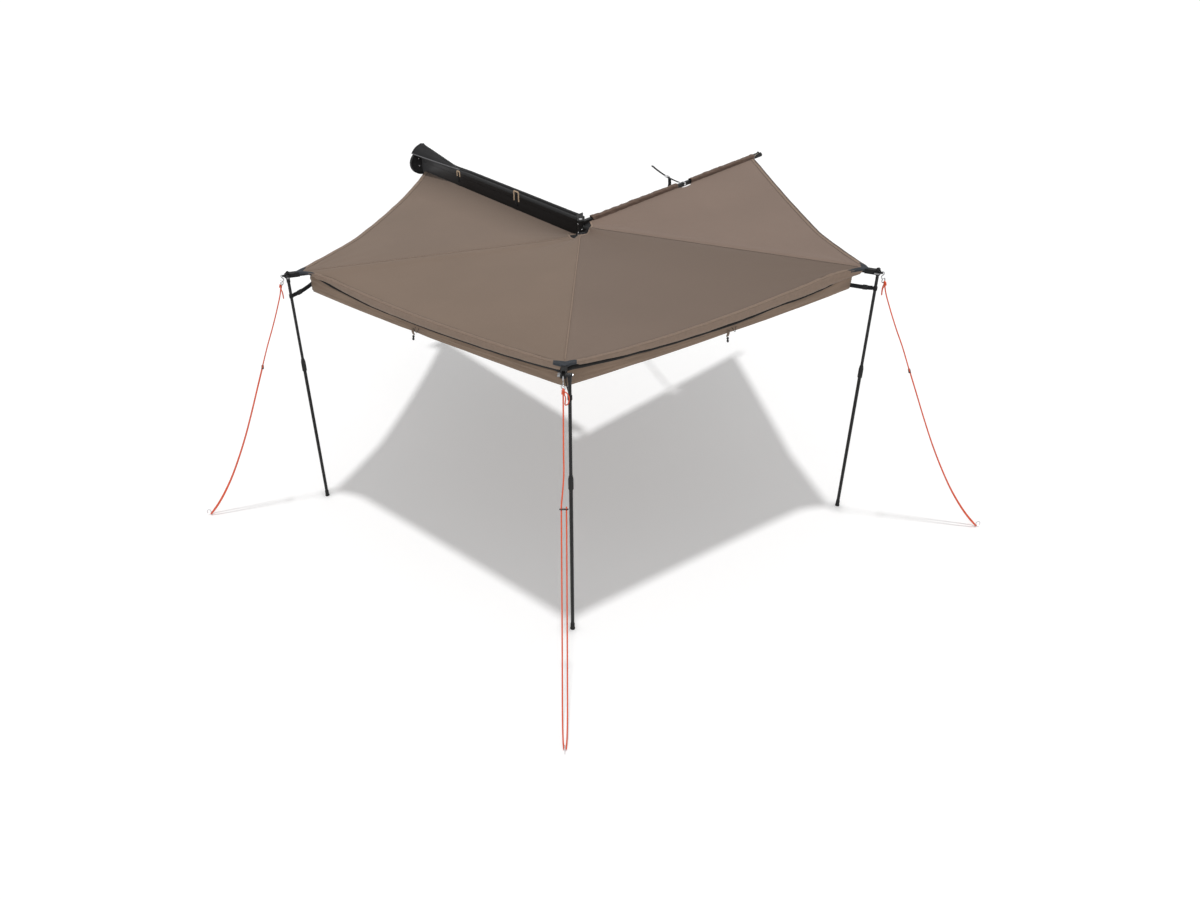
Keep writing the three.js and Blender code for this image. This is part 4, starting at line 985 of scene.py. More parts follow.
def gather(piece, n, stands_for=None):
    """Lets a piece of panel n ride arm n as that arm closes, with a mesh of its own."""
    put(piece, f"arm_{n}", stands_for)
    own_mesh(piece)
    return piece


def lifted(track, shift, lift):
    """The points of a track, moved across it and up off the cloth."""
    path, ups = (np.array(part) for part in zip(*track))
    _, side, tall = frames(path, ups)
    return path + side * shift + tall * lift


class AWNING_OT_canopy_seams(bpy.types.Operator):
    """Make the seams over the arms, the hems, the ring binding and the corner patches"""

    bl_idname = "awning.canopy_seams"
    bl_label = "Canopy seams and hems"

    # Seam over each arm: its tone and width; the tones are painted highlight on arms 1 and 2 and painted shade
    # on arm 3.
    ARM_SEAMS = {1: (1.03, 0.013), 2: (1.08, 0.010), 3: (0.55, 0.006)}
    # Hem and the line beside it: distance from the edge, width, height and tone, then the rows of stitches.
    OUTER_HEM = ((0.013, 0.024, 0.0010, 1.06), (0.0265, 0.0045, 0.0009, 0.6), (0.004, 0.022))
    FRONT_HEM = ((0.016, 0.028, 0.0011, 1.12), (0.034, 0.005, 0.0009, 0.6), (0.005, 0.027))
    LAST_HEM = ((0.020, 0.020, 0.0010, 1.16), (0.034, 0.005, 0.0009, 0.55), (0.013, 0.028))

    def execute(self, context):
        for n in (1, 2, 3):
            self.arm_seam(n)
            self.patch(n)
        for panel in PANELS:
            self.hem(panel)
        return {"FINISHED"}

    def arm_seam(self, n):
        near, far = PANELS[n - 1], PANELS[n]
        track = []
        for row in np.linspace(0.0, 0.962, 90):
            (a, na), (b, nb) = near.at(near.shares[-1], row), far.at(far.shares[0], row)
            track.append(((a + b) / 2, unit(na + nb)))
        tone, wide = self.ARM_SEAMS[n]
        # The seam's tone is painted light and shade, lighter on arms 1 and 2, darker on arm 3.
        put(band_on(f"arm_seam_{n}", track, wide, 0.0011, trim_cloth(tone)), f"arm_{n}")
        lines = [lifted(track, s, 0.0016) for s in (-wide / 2 - 0.001, wide / 2 + 0.001)]
        put(stitches(f"arm_seam_thread_{n}", lines, trim_cloth(0.7)), f"arm_{n}")

    def hem(self, panel):
        """The hem, the line beside it, the binding of the free edge and of the ring, and their stitches."""
        n = panel.p + 1
        long = np.linalg.norm(panel.grid[-1].mean(0) - panel.grid[0].mean(0))
        if panel.skirted:
            reach, (band, line, rows) = (panel.shares[8], panel.shares[-9], 110), self.OUTER_HEM
        elif n == 1:
            reach, (band, line, rows) = (0.004, 0.975, 90), self.FRONT_HEM
        else:
            reach, (band, line, rows) = (0.02, 0.995, 90), self.LAST_HEM
        pieces = []
        for name, (at, *size, tone) in (("hem", band), ("hem_line", line)):
            pieces.append(band_on(f"{name}_{n}", panel.track(1 - at / long, *reach), *size, trim_cloth(tone)))
        if n == 4:
            track = panel.track(1 - 0.0055 / long, *reach)
            gather(band_on(f"edge_binding_{n}", track, 0.011, 0.0022, trim_cloth(0.52, 1.1)), n)
        around = (panel.shares[0], panel.shares[-1], 44)
        ring = band_on(f"ring_binding_{n}", panel.track(0.0035, *around), 0.012, 0.0022, trim_cloth(1.42))
        gather(pieces[0], n)
        gather(pieces[1], n)
        gather(ring, n)
        lines = [lifted(panel.track(1 - at / long, *reach), 0, 0.0018) for at in rows]
        lines.append(lifted(panel.track(0.0052, *around), 0, 0.0028))
        gather(stitches(f"hem_thread_{n}", lines, trim_cloth(1.25)), n)

    def patch(self, n):
        """A dark patch of tough cloth over each outer corner, from the hem to the tip bracket."""
        near, far = PANELS[n - 1], PANELS[n]
        rings = []
        for k in range(10):
            ring = []
            for j in range(-14, 15):
                side = abs(j) / 14
                panel, span = (near, near.span_b) if j < 0 else (far, far.span_a)
                share = max(0.0003, PATCH_WING * side / span)
                share = 1 - share if j < 0 else share
                row = 1 - PATCH_DEPTH * (1 - 0.5 * side) * max(0, 7 - k) / 7 / 1.79
                point, normal = panel.at(share, row)
                point = point + normal * 0.0016
                if k > 7 and panel.skirted:
                    point = point + rise(-0.006) * (k - 7) * min(1, side * 4) + outward(n - 1) * 0.0012
                ring.append(point)
            rings.append(ring)
        piece = grid_piece(f"corner_patch_{n}", rings, webbing(0.042, 0.047, 0.055))
        put(thicken(piece, 0.0014), f"arm_{n}")


class AWNING_OT_sleeve(bpy.types.Operator):
    """Make the cloth sleeve round the fourth arm and its seam to the canopy"""

    bl_idname = "awning.sleeve"
    bl_label = "Sleeve"

    # Distances from the pin where it starts and ends and where the ring shows, and half its width.
    START, END, GAP, HALF = 0.105, 1.914, (0.986, 1.141), 0.0172
    ROWS, AROUND = 190, 32

    def execute(self, context):
        start, end, low, high = self.START, self.END, *self.GAP
        count, around, half = self.ROWS, self.AROUND, self.HALF
        square = []
        for k in range(around):
            a = math.tau * k / around + 0.001
            c, s = math.cos(a), math.sin(a)
            reach = (abs(c) ** 4 + abs(s) ** 4) ** (-1 / 4)
            square.append((half * reach * c, half * reach * s * 1.12 + 0.0022))
        rings, keep = [], []
        for i in range(count + 1):
            r = start + (end - start) * i / count
            axis = arm_point(3, r, 0, arm_level(3, r))
            crinkle = 0.0026 + 0.0034 * math.exp(-(r - start) / 0.3)
            ring = []
            for k, (a, b) in enumerate(square):
                turn = math.tau * k / around
                c, s = math.cos(turn), math.sin(turn)
                swell = crinkle * soft((r * 23 + 1.4 * c, 1.5 * c, 1.5 * s))
                swell = max(-0.0006, swell * 1.6)
                swell += 0.0006 * soft((r * 90, 3 * c, 3 * s))
                size = 1 + swell / half
                ring.append(axis + sideways(3) * a * size + rise(b * size))
            rings.append(ring)
        u = np.linspace(0, 8 * half, around + 1)
        uvs = [[(x, (end - start) * i / count) for x in u] for i in range(count + 1)]
        piece = grid_piece("arm_sleeve", rings, canopy_cloth(SLEEVE_TONE), uvs, closed=True)
        shape = bmesh.new()
        shape.from_mesh(piece.data)
        gone = []
        for face in shape.faces:
            middle = np.array(face.calc_center_median())
            r = (middle - PIN)[:2] @ outward(3)[:2]
            if low < r < high and middle[2] - arm_level(3, r) > -0.009:
                gone.append(face)
        bmesh.ops.delete(shape, geom=gone, context="FACES")
        shape.to_mesh(piece.data)
        shape.free()
        put(thicken(piece, 0.0012), "arm_4", "sleeve")
        panel = PANELS[3]
        share = panel.shares[-1] - 0.0035 / float(np.linalg.norm(panel.chord))
        spans = ((0.012, (low - RINGS[4]) / (end - RINGS[4])), ((high - RINGS[4]) / (end - RINGS[4]), 0.995))
        lines = []
        for k, (a, b) in enumerate(spans):
            track = panel.seam(share, a, b, 90)
            flap = band_on(f"sleeve_flap_{k + 1}", track, 0.007, 0.0012, trim_cloth(0.45))
            put(flap, "arm_4")
            lines += [lifted(track, s, 0.0017) for s in (-0.0045, 0.0045)]
        put(stitches("sleeve_thread", lines, trim_cloth(1.25)), "arm_4")
        return {"FINISHED"}


def roll_frame(i):
    """Ends, length, run and inward direction of the line that valance i hangs along."""
    a, b = corner(i + 1), corner(i + 2)
    a[2] = arm_top(i, CORNER) + 0.002 - VALANCE_TOP
    b[2] = arm_top(i + 1, CORNER) + 0.002 - VALANCE_TOP
    flat = (b - a) * (1, 1, 0)
    long = float(np.linalg.norm(flat))
    along = flat / long
    return a, b, long, along, np.cross((0, 0, 1.0), along)


def place_on_roll(i, t, across, up):
    """A point of the roll: a share along it, across from its middle and up from its middle."""
    a, b, long, along, inward = roll_frame(i)
    inset = VALANCE_INSET + across
    margin = VALANCE_GAP + inset * math.tan(SPREAD / 2)
    first, last = VALANCE_ENDS[i]
    reach = margin - first + (long - 2 * margin + first + last) * t
    point = a + along * reach + inward * inset
    low = a[2] + (b[2] - a[2]) * reach / long - VALANCE_HEIGHT - VALANCE_SAG * 4 * t * (1 - t)
    high = hem_level(i, t) - tape_shows(i, t) + 0.005
    point[2] = low + (high - low) * (up / VALANCE_HEIGHT + 0.5)
    return point


def tape_shows(i, t):
    """How far the tape, partly painted shade, reaches below the hem: more near arm 2, where the canopy's corner
    stands out over it.
    """
    wide, power = HORNS["middle"]
    away = roll_frame(i)[2] * math.cos(SPREAD / 2) * (1 - t if i == 0 else t)
    stands = (TIP_RADII[1] - PATCH_REACHES[1] - CORNER) * max(0, 1 - away / wide) ** power
    return float(np.interp(t, *TAPE_AND_SHADE_SHOWS[i])) + TAPE_AND_SHADE_LOWER * stands


HEM_LEVELS = {}


def hem_level(i, t):
    """Height of the lower edge of the hem that valance i hangs under."""
    if i not in HEM_LEVELS:
        panel, (a, _, long, along, _) = PANELS[i + 1], roll_frame(i)
        first, last = VALANCE_ENDS[i]
        start = panel.grid[-1][0]
        rows = []
        for k in range(81):
            spot = a + along * (-first + (long + first + last) * k / 80)
            share = float((spot - start)[:2] @ panel.chord[:2] / (panel.chord[:2] @ panel.chord[:2]))
            share = min(0.985, max(0.015, share))
            rows.append(panel.at(share, 1.0)[0][2] - hem_drop(panel.p, share))
        HEM_LEVELS[i] = rows
    return float(np.interp(t * 80, range(81), HEM_LEVELS[i]))


class AWNING_OT_valances(bpy.types.Operator):
    """Make the two rolled-up valances with their toggles and tabs"""

    bl_idname = "awning.valances"
    bl_label = "Valances"

    # Steps round the roll and along it.
    AROUND, ALONG = 132, 120
    # Outline of a toggle: distances from its top, and radii.
    BARREL = [(0.0, 0.0035), (0.002, 0.0062), (0.010, 0.0072), (0.015, 0.0048)]
    BARREL += [(0.019, 0.0048), (0.024, 0.0072), (0.032, 0.0062), (0.034, 0.0035)]

    def execute(self, context):
        for i in (0, 1):
            self.roll(i)
            self.tape(i)
            self.toggle(i)
        return {"FINISHED"}

    def roll(self, i):
        """The rolled cloth, pinched in where the toggle holds it and creased more on its outer turn."""
        n = i + 1
        rings = []
        for s in range(self.ALONG + 1):
            t = s / self.ALONG
            pinch = math.exp(-(((t - TOGGLE_SHARES[i]) * 24) ** 2))
            ring = []
            for k in range(self.AROUND + 1):
                turn = ROLL_TURNS * k / self.AROUND
                a = math.tau * turn - math.pi / 2 + 0.4
                inner = ROLL_TURNS - turn
                wide = (VALANCE_HALF - 0.0028 - inner * 0.0030) * (1 - 0.22 * pinch)
                tall = VALANCE_HEIGHT / 2 - 0.0025 - inner * 0.0034
                c, q = math.cos(a), math.sin(a)
                x = wide * math.copysign(abs(c) ** 0.75, c)
                z = tall * math.copysign(abs(q) ** 0.9, q)
                show = 1.0 if inner < 1.02 else 0.25
                crease = 0.0042 * soft((t * 3.1 + 7 * i, z * 62, 2.2 * c + 5 * i))
                crease += 0.0022 * soft((t * 11 + 3 * i, z * 120, 1.4 * c))
                x += (crease * show - 0.0012) * (1 if c >= 0 else -1)
                z += 0.0024 * soft((t * 7, q * 1.5, 11 + i)) * show + 0.004 * pinch * (1 if q < 0 else -1)
                ring.append(place_on_roll(i, t, -x, z))
            rings.append(ring)
        piece = grid_piece(f"valance_roll_{n}", rings, valance_cloth())
        gather(thicken(piece, 0.0011), n + 1, f"valance_{n}")
        flat = (round(run_length(rings[self.ALONG // 2]), 3), round(roll_frame(i)[2], 3))

    def tape(self, i):
        """The black tape between the canopy's hem and the roll, partly standing in as painted shade in the gap
        there.
        """
        rows = []
        for t in [0.004, 0.022, *np.linspace(0.026, 0.996, 88)]:
            hem, shows = hem_level(i, t), tape_shows(i, t)
            top = place_on_roll(i, t, -VALANCE_HALF * 0.55, VALANCE_HEIGHT / 2)
            face = place_on_roll(i, t, -VALANCE_HALF - 0.0008, 0)
            levels = [hem + 0.006, hem + 0.001, hem - shows * 0.6, hem - shows - 0.003]
            if i == 1 and t < 0.025:
                # The folded leg of arm 2 passes over the tape's start.
                levels[:2] = [hem - 0.012, hem - 0.013]
            rows.append([(*(face[:2] + (top - face)[:2] * r), z) for r, z in zip([1.3, 1.2, 0.8, 0.7], levels)])
        # The near-black tape is partly painted shade under the hem.
        piece = grid_piece(f"valance_tape_{i + 1}", rows, webbing(0.007, 0.0065, 0.006))
        gather(thicken(piece, 0.0012), i + 2)

    def toggle(self, i):
        """A tab sewn to the roll with a toggle on a short cord, and a loop above it."""
        n, t, arm = i + 1, TOGGLE_SHARES[i], f"arm_{i + 2}"
        along, inward = roll_frame(i)[3:]
        bottom = place_on_roll(i, t, -0.006, -VALANCE_HEIGHT / 2 + 0.004)
        tab = [bottom + rise(0.022) - inward * 0.005, bottom - inward * 0.004]
        tab += [bottom + rise(-0.008) - inward * 0.001, bottom + rise(-0.016)]
        put(band(f"toggle_tab_{n}", catmull(tab, 6), -inward, 0.020, 0.0022, trim_cloth(0.72)), arm)
        top = bottom + rise(-0.014)
        lean = along * (-0.004 if i == 0 else 0.003)
        string = catmull([top, top + lean * 0.5 + rise(-0.006), top + lean + rise(-0.012)], 5)
        put(tube(f"toggle_cord_{n}", string, 0.0012, moulded(0.012), 8), arm)
        aim = unit(rise(-1.0) + lean * 40)
        side = unit(np.cross(aim, inward))
        start, angles = string[-1] - aim * 0.002, np.arange(16) * math.tau / 16
        rings = [circle(start + aim * h, r, side, np.cross(side, aim), angles) for h, r in self.BARREL]
        put(capped(f"toggle_{n}", rings, moulded(0.012)), arm)
        high = place_on_roll(i, t + 0.012, -0.010, 0.020)
        loop = [high, high - inward * 0.012 + along * 0.006 + rise(-0.018)]
        loop += [high - inward * 0.010 + along * 0.018 + rise(-0.030), high + along * 0.030]
        put(tube(f"toggle_loop_{n}", catmull(loop, 8), 0.0013, moulded(0.02), 8), arm)


def sagging(start, end, sag, steps):
    """Points from start to end, sagging by a given depth in the middle."""
    path = []
    for t in (k / steps for k in range(steps + 1)):
        path.append(start + (end - start) * t - rise(sag * 4 * t * (1 - t)))
    return path


class AWNING_OT_leg_straps(bpy.types.Operator):
    """Make the webbing straps between the valance ends and the legs"""

    bl_idname = "awning.leg_straps"
    bl_label = "Leg straps"

    # For each strap the valance, the share along it and the height on it, then the sag, and the leg
    # end's place beside the arm and below the tip.
    ROUTES = (
        (0, 0.0, -0.004, 0.007, 0.031, 0.131),
        (1, 0.0, -0.004, 0.007, 0.031, 0.133),
        (1, 1.0, -0.024, 0.003, 0.024, 0.121),
    )

    def execute(self, context):
        for i, (roll, share, up, sag, beside, below) in enumerate(self.ROUTES):
            n = i + 1
            start = place_on_roll(roll, share, 0, up)
            end = arm_point(i, TIP_RADII[i] - 0.014, beside, tip_level(i) - below)
            start = start - unit(end - start) * 0.006
            path = sagging(start, end, sag, 32)
            path = [point + sideways(i) * 0.0018 * soft((k / 8, i * 3, 1)) for k, point in enumerate(path)]
            across = np.cross(end - start, (0, 0, 1.0))
            strap = band(f"leg_webbing_{n}", path, across, 0.029, 0.0018, webbing(0.010, 0.0105, 0.012))
            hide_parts(f"leg_strap_{n}")
            keeper = band(f"leg_strap_keeper_{n}", path[19:26], across, 0.034, 0.0036, moulded(0.012), -0.0012)
            for piece in (strap, keeper):
                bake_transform(piece)
        return {"FINISHED"}


class AWNING_OT_cover(bpy.types.Operator):
    """Make the cover that opens over the rail's front end and folds along its top"""

    bl_idname = "awning.cover"
    bl_label = "Cover"

    # Outlines in millimetres, from the rail's back edge over to its face.
    HOOD = [(-3.5, 95), (-4.5, 149), (-21, 185), (-50, 189), (-89, 176), (-119.5, 158.5), (-148.5, 125)]
    FOLD = [(-2.5, 91.8), (-7, 93.5), (-12.5, 95.5), (-22, 96.8), (-34, 96), (-46, 94.3), (-56.5, 91.8)]
    STRIP = [(-2.6, 92), (-4.5, 97.5), (-8.5, 99.8), (-13.5, 100.2), (-20, 98.8), (-24.5, 96), (-26.6, 92)]
    # Places along the rail where the hood starts and ends and the strip starts and ends.
    STATIONS = (-0.995, -0.560, -0.330, 0.984)

    def execute(self, context):
        front, hood, strip, end = self.STATIONS
        rings = []
        outlines = (self.HOOD, self.FOLD, self.STRIP)
        profiles = [catmull([(0, y / 1000, z / 1000) for y, z in outline], 7) for outline in outlines]
        stations = np.concatenate([np.linspace(front, hood, 30)[:-1], np.linspace(hood, strip, 14)[:-1]])
        stations = np.concatenate([stations, np.linspace(strip, end, 60)])
        for x in stations:
            fall, fold = ramp(x, front, hood - front), ramp(x, hood, strip - hood)
            shape = profiles[0] * (1 - fall) + profiles[1] * fall
            shape = shape * (1 - fold) + profiles[2] * fold
            ring = []
            for k, point in enumerate(shape):
                u = k / (len(shape) - 1)
                loose = 0.004 * (1 - fall) + 0.0012
                fold_lines = soft((x * 3.5, u * 5, 1)) * loose
                fold_lines += 0.0030 * (1 - fold) * soft((x * 9, u * 9 + x * 6, 4)) * math.sin(math.pi * u)
                fold_lines += 0.0007 * soft((x * 22, u * 4, 9))
                ring.append((x, point[1], point[2] + fold_lines * (0.3 if u < 0.1 or u > 0.97 else 1)))
            rings.append(ring)
        rings = np.array(rings)
        piece = grid_piece("soft_cover", rings, cover_cloth())
        area = area_of(piece)
        put(thicken(piece, 0.0016), "base", "cover")
        wide, long = max(0.27, area / COVER_LENGTH), COVER_LENGTH
        area = max(area, LEAST_SHARE * wide * long)
        edge = rings[:36, -1]
        ups = [np.array([0, -0.6, 0.8])] * len(edge)
        put(band("cover_binding", edge, ups, 0.009, 0.0026, webbing(0.14, 0.14, 0.145), -0.0002), "base")
        lip = (-1.0, 0, 0.02)
        put(band("cover_mouth_binding", rings[0], lip, 0.008, 0.0022, webbing(0.10, 0.10, 0.105)), "base")
        put(stitches("cover_thread", [edge + (0, 0.006, 0.0036)], webbing(0.2, 0.2, 0.2)), "base")
        return {"FINISHED"}


class AWNING_OT_closures(bpy.types.Operator):
    """Make the two closure straps on the rail's face"""

    bl_idname = "awning.closures"
    bl_label = "Closure straps"

    # Name, place along the rail, loop width, levels of its top and foot, web width and the web's lower end.
    STRAPS = (
        ("front", -0.448, 0.042, 0.086, 0.038, 0.016, -0.012),
        ("rear", 0.306, 0.062, 0.111, 0.030, 0.028, -0.010),
    )

    def execute(self, context):
        tan, black = webbing(0.62, 0.47, 0.33), webbing(0.015, 0.015, 0.016)
        face = RAIL_FACE - 0.0004
        for name, x, width, top, foot, web, low in self.STRAPS:
            side = width / 2 - 0.004
            half = [(side + 0.001, foot + 0.003), (side, (foot + top) / 2)]
            half += [(side, top - 0.010), (side - 0.004, top - 0.0052)]
            path = [(x - a, face, z) for a, z in half] + [(x, face - 0.0006, top - 0.004)]
            path += [(x + a, face, z) for a, z in half[::-1]]
            loop = band(f"closure_loop_{name}", catmull(path, 6), (0, -1.0, 0), 0.0140, 0.0030, tan)
            put(loop, "base", f"closure_strap_{name}")
            hang = [(x, face - 0.0022, top - 0.006), (x, face - 0.0028, top - 0.02)]
            hang += [(x + 0.0006, face - 0.0016, 0.04), (x - 0.0006, face - 0.0006, 0.012)]
            hang += [(x, face - 0.0002, low + 0.002)]
            put(band(f"closure_web_{name}", catmull(hang, 8), (0, -1.0, 0), web, 0.0014, black), "base")
            buckle = self.buckle(f"closure_buckle_{name}", x, face, low + 0.004, 0.024, 0.014)
            put(buckle, "base")
            stitch = [[(x + a, face - 0.0040, top - 0.013) for a in (-0.006, 0.006)]]
            put(stitches(f"closure_thread_{name}", stitch, tan, 0.003), "base")
        return {"FINISHED"}

    def buckle(self, name, x, face, low, width, height):
        """A ladder buckle: an eased plate with two windows and a curved middle bar."""
        shape = bmesh.new()
        y0, y1 = face - 0.0008, face - 0.0052
        xs = np.array([-0.5, -0.38, 0.38, 0.5]) * width + x
        zs = np.array([0.0, 0.18, 0.42, 0.60, 0.84, 1.0]) * height + low
        grid = [[[shape.verts.new((a, y, c)) for c in zs] for a in xs] for y in (y0, y1)]
        for side, flip in ((0, False), (1, True)):
            for i in range(3):
                for j in range(5):
                    if i == 1 and j in (1, 3):
                        continue
                    g = grid[side]
                    loop = [g[i][j], g[i + 1][j], g[i + 1][j + 1], g[i][j + 1]]
                    shape.faces.new(loop[::-1] if flip else loop)
        shape.verts.index_update()
        shape.verts.ensure_lookup_table()
        count = len(xs) * len(zs)
        for edge in [e for e in shape.edges if len(e.link_faces) == 1]:
            a, b = edge.verts
            if a.index < count and b.index < count:
                shape.faces.new([a, b, shape.verts[b.index + count], shape.verts[a.index + count]])
        bmesh.ops.recalc_face_normals(shape, faces=shape.faces)
        return eased(name, shape, list(shape.edges), 0.0005, moulded(0.014))


def eased(name, shape, edges, offset, finish):
    """Rounds the edges of a built shape off a little and makes a piece of it."""
    bmesh.ops.bevel(shape, geom=edges, offset=offset, segments=2, affect="EDGES", clamp_overlap=True)
    bmesh.ops.recalc_face_normals(shape, faces=shape.faces)
    mesh = bpy.data.meshes.new(name)
    shape.to_mesh(mesh)
    shape.free()
    return placed(name, mesh, finish)


class AWNING_OT_tie_strap(bpy.types.Operator):
    """Make the strap that ties the fourth arm back, with its tail"""

    bl_idname = "awning.tie_strap"
    bl_label = "Tie strap"

    # The ring's place on arm 4, how far its eye stands to the side, and the strap's far end.
    RING_AT, RING_EYE, FAR_END = 1.070, 0.04555, (0.560, 1.164, 0.089)
    # The hanging tail, from the strap down.
    TAIL = [(0, 0, 0.001), (0.001, 0.0008, -0.02), (0.003, 0.001, -0.05)]
    TAIL += [(0, -0.001, -0.08), (-0.002, 0, -0.104)]

    def execute(self, context):
        start = arm_point(3, self.RING_AT, self.RING_EYE, arm_level(3, self.RING_AT))
        end = np.array(self.FAR_END)
        path = sagging(start, end, 0.014, 60)
        web = webbing(0.017, 0.017, 0.018)
        strap = band("tie_webbing", path, (0, 0, 1.0), 0.0195, 0.0016, web, -0.0008)
        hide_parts("tie_strap")
        run = end - start
        spot, flat = path[25] - unit(run) * 0.043, unit(run * (1, 1, 0))
        tail = catmull([spot + step for step in self.TAIL], 8)
        across = np.array([0.54, -0.72, 0.0]) + flat * 0.4
        hang = band("tie_tail", tail, across, 0.0270, 0.0015, web)
        for piece in (strap, hang, self.buckle()):
            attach(piece, "arm_4")
            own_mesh(piece)
        return {"FINISHED"}

    def buckle(self):
        """The cam buckle on the strap, with its edges eased."""
        shape = bmesh.new()
        shape.from_mesh(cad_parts["tie_buckle"].data)
        bmesh.ops.remove_doubles(shape, verts=shape.verts, dist=0.00001)
        bmesh.ops.dissolve_limit(shape, angle_limit=0.02, verts=shape.verts, edges=shape.edges)
        hard = [e for e in shape.edges if e.calc_face_angle(0.0) > 0.6]
        piece = eased("tie_buckle_frame", shape, hard, 0.0007, metal(0.5, 0.35, 1.0))
        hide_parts("tie_buckle")
        return piece


class AWNING_OT_elastic(bpy.types.Operator):
    """Make the elastic that pulls the canopy's last corner to the last tip"""

    bl_idname = "awning.elastic"
    bl_label = "Corner elastic"

    def execute(self, context):
        size = context.scene.awning_sizes.elastic
        path = catmull([arm_point(3, r, side, arm_level(3, r) + up) for r, side, up in ELASTIC_ROUTE], 10)
        piece = put(tube("corner_elastic", path, size / 2, elastic_cord()), "arm_4", "elastic_4")
        return {"FINISHED"}


class AWNING_OT_fasteners(bpy.types.Operator):
    """Make the bright heads of the knuckle bolts and of the end cap's screws"""

    bl_idname = "awning.fasteners"
    bl_label = "Fasteners"

    # The arm, the head's place and the way it faces, then the places of the cap's screws.
    KNUCKLES = (
        (2, (1.0830, -0.1278, 0.0290), (0.131, -0.991, 0)),
        (3, (1.1039, -0.1135, 0.0534), (0.383, -0.924, 0)),
        (4, (1.0779, -0.1275, 0.0909), (-0.131, -0.991, 0)),
    )
    SCREWS = [(-0.9848, -0.090, 0.009), (-0.9848, -0.090, 0.074)]

    def execute(self, context):
        for n, spot, aim in self.KNUCKLES:
            put(self.head(f"knuckle_bolt_{n}", spot, aim, 0.0046, 0.0030), f"arm_{n}")
        for k, spot in enumerate(self.SCREWS):
            put(self.head(f"cap_screw_{k + 1}", spot, (1, 0, 0), 0.0064, 0.0018), "base")
        return {"FINISHED"}

    def head(self, name, spot, aim, radius, height):
        """A low domed head with a round socket, sunk a little into what it holds."""
        aim = unit(np.array(aim))
        side = unit(np.cross(aim, (0, 0, 1.0)))
        other, angles = np.cross(side, aim), np.arange(20) * math.tau / 20
        profile = [(-0.4, 1.0), (0.45, 1.0), (0.8, 0.86), (1.0, 0.62), (1.0, 0.48), (0.45, 0.44)]
        rings = [circle(spot + aim * h * height, r * radius, side, other, angles) for h, r in profile]
        piece = sharpen(capped(name, rings, metal(0.7, 0.25, 1.0)))
        return piece


class AWNING_OT_finishes(bpy.types.Operator):
    """Give the frame's own pieces their finishes"""

    bl_idname = "awning.finishes"
    bl_label = "Frame finishes"

    def execute(self, context):
        dress("rail", extrusion())
        dress("front_cap", moulded(0.016))
        dress("hub_bracket", metal(0.009, 0.5, 0.2))
        dress("hub_pin", metal(0.62, 0.28, 1.0))
        dress("ring_4", metal(0.5, 0.3, 1.0))
        for n in (1, 2, 3, 4):
            dress(f"arm_{n}", tube_finish(0.015))
            dress(f"tip_{n}", metal(0.012, 0.45, 0.3))
        for n in (1, 2, 3):
            dress(f"wing_bolt_{n}", metal(0.22, 0.34, 1.0))
            dress(f"leg_{n}_upper", tube_finish(0.020))
            dress(f"leg_{n}_lower", tube_finish(0.016))
            dress(f"leg_{n}_collar", moulded(0.014))
            dress(f"leg_{n}_foot", moulded(0.010))
            dress(f"leg_{n}_clamp", webbing(0.020, 0.020, 0.022))
        return {"FINISHED"}


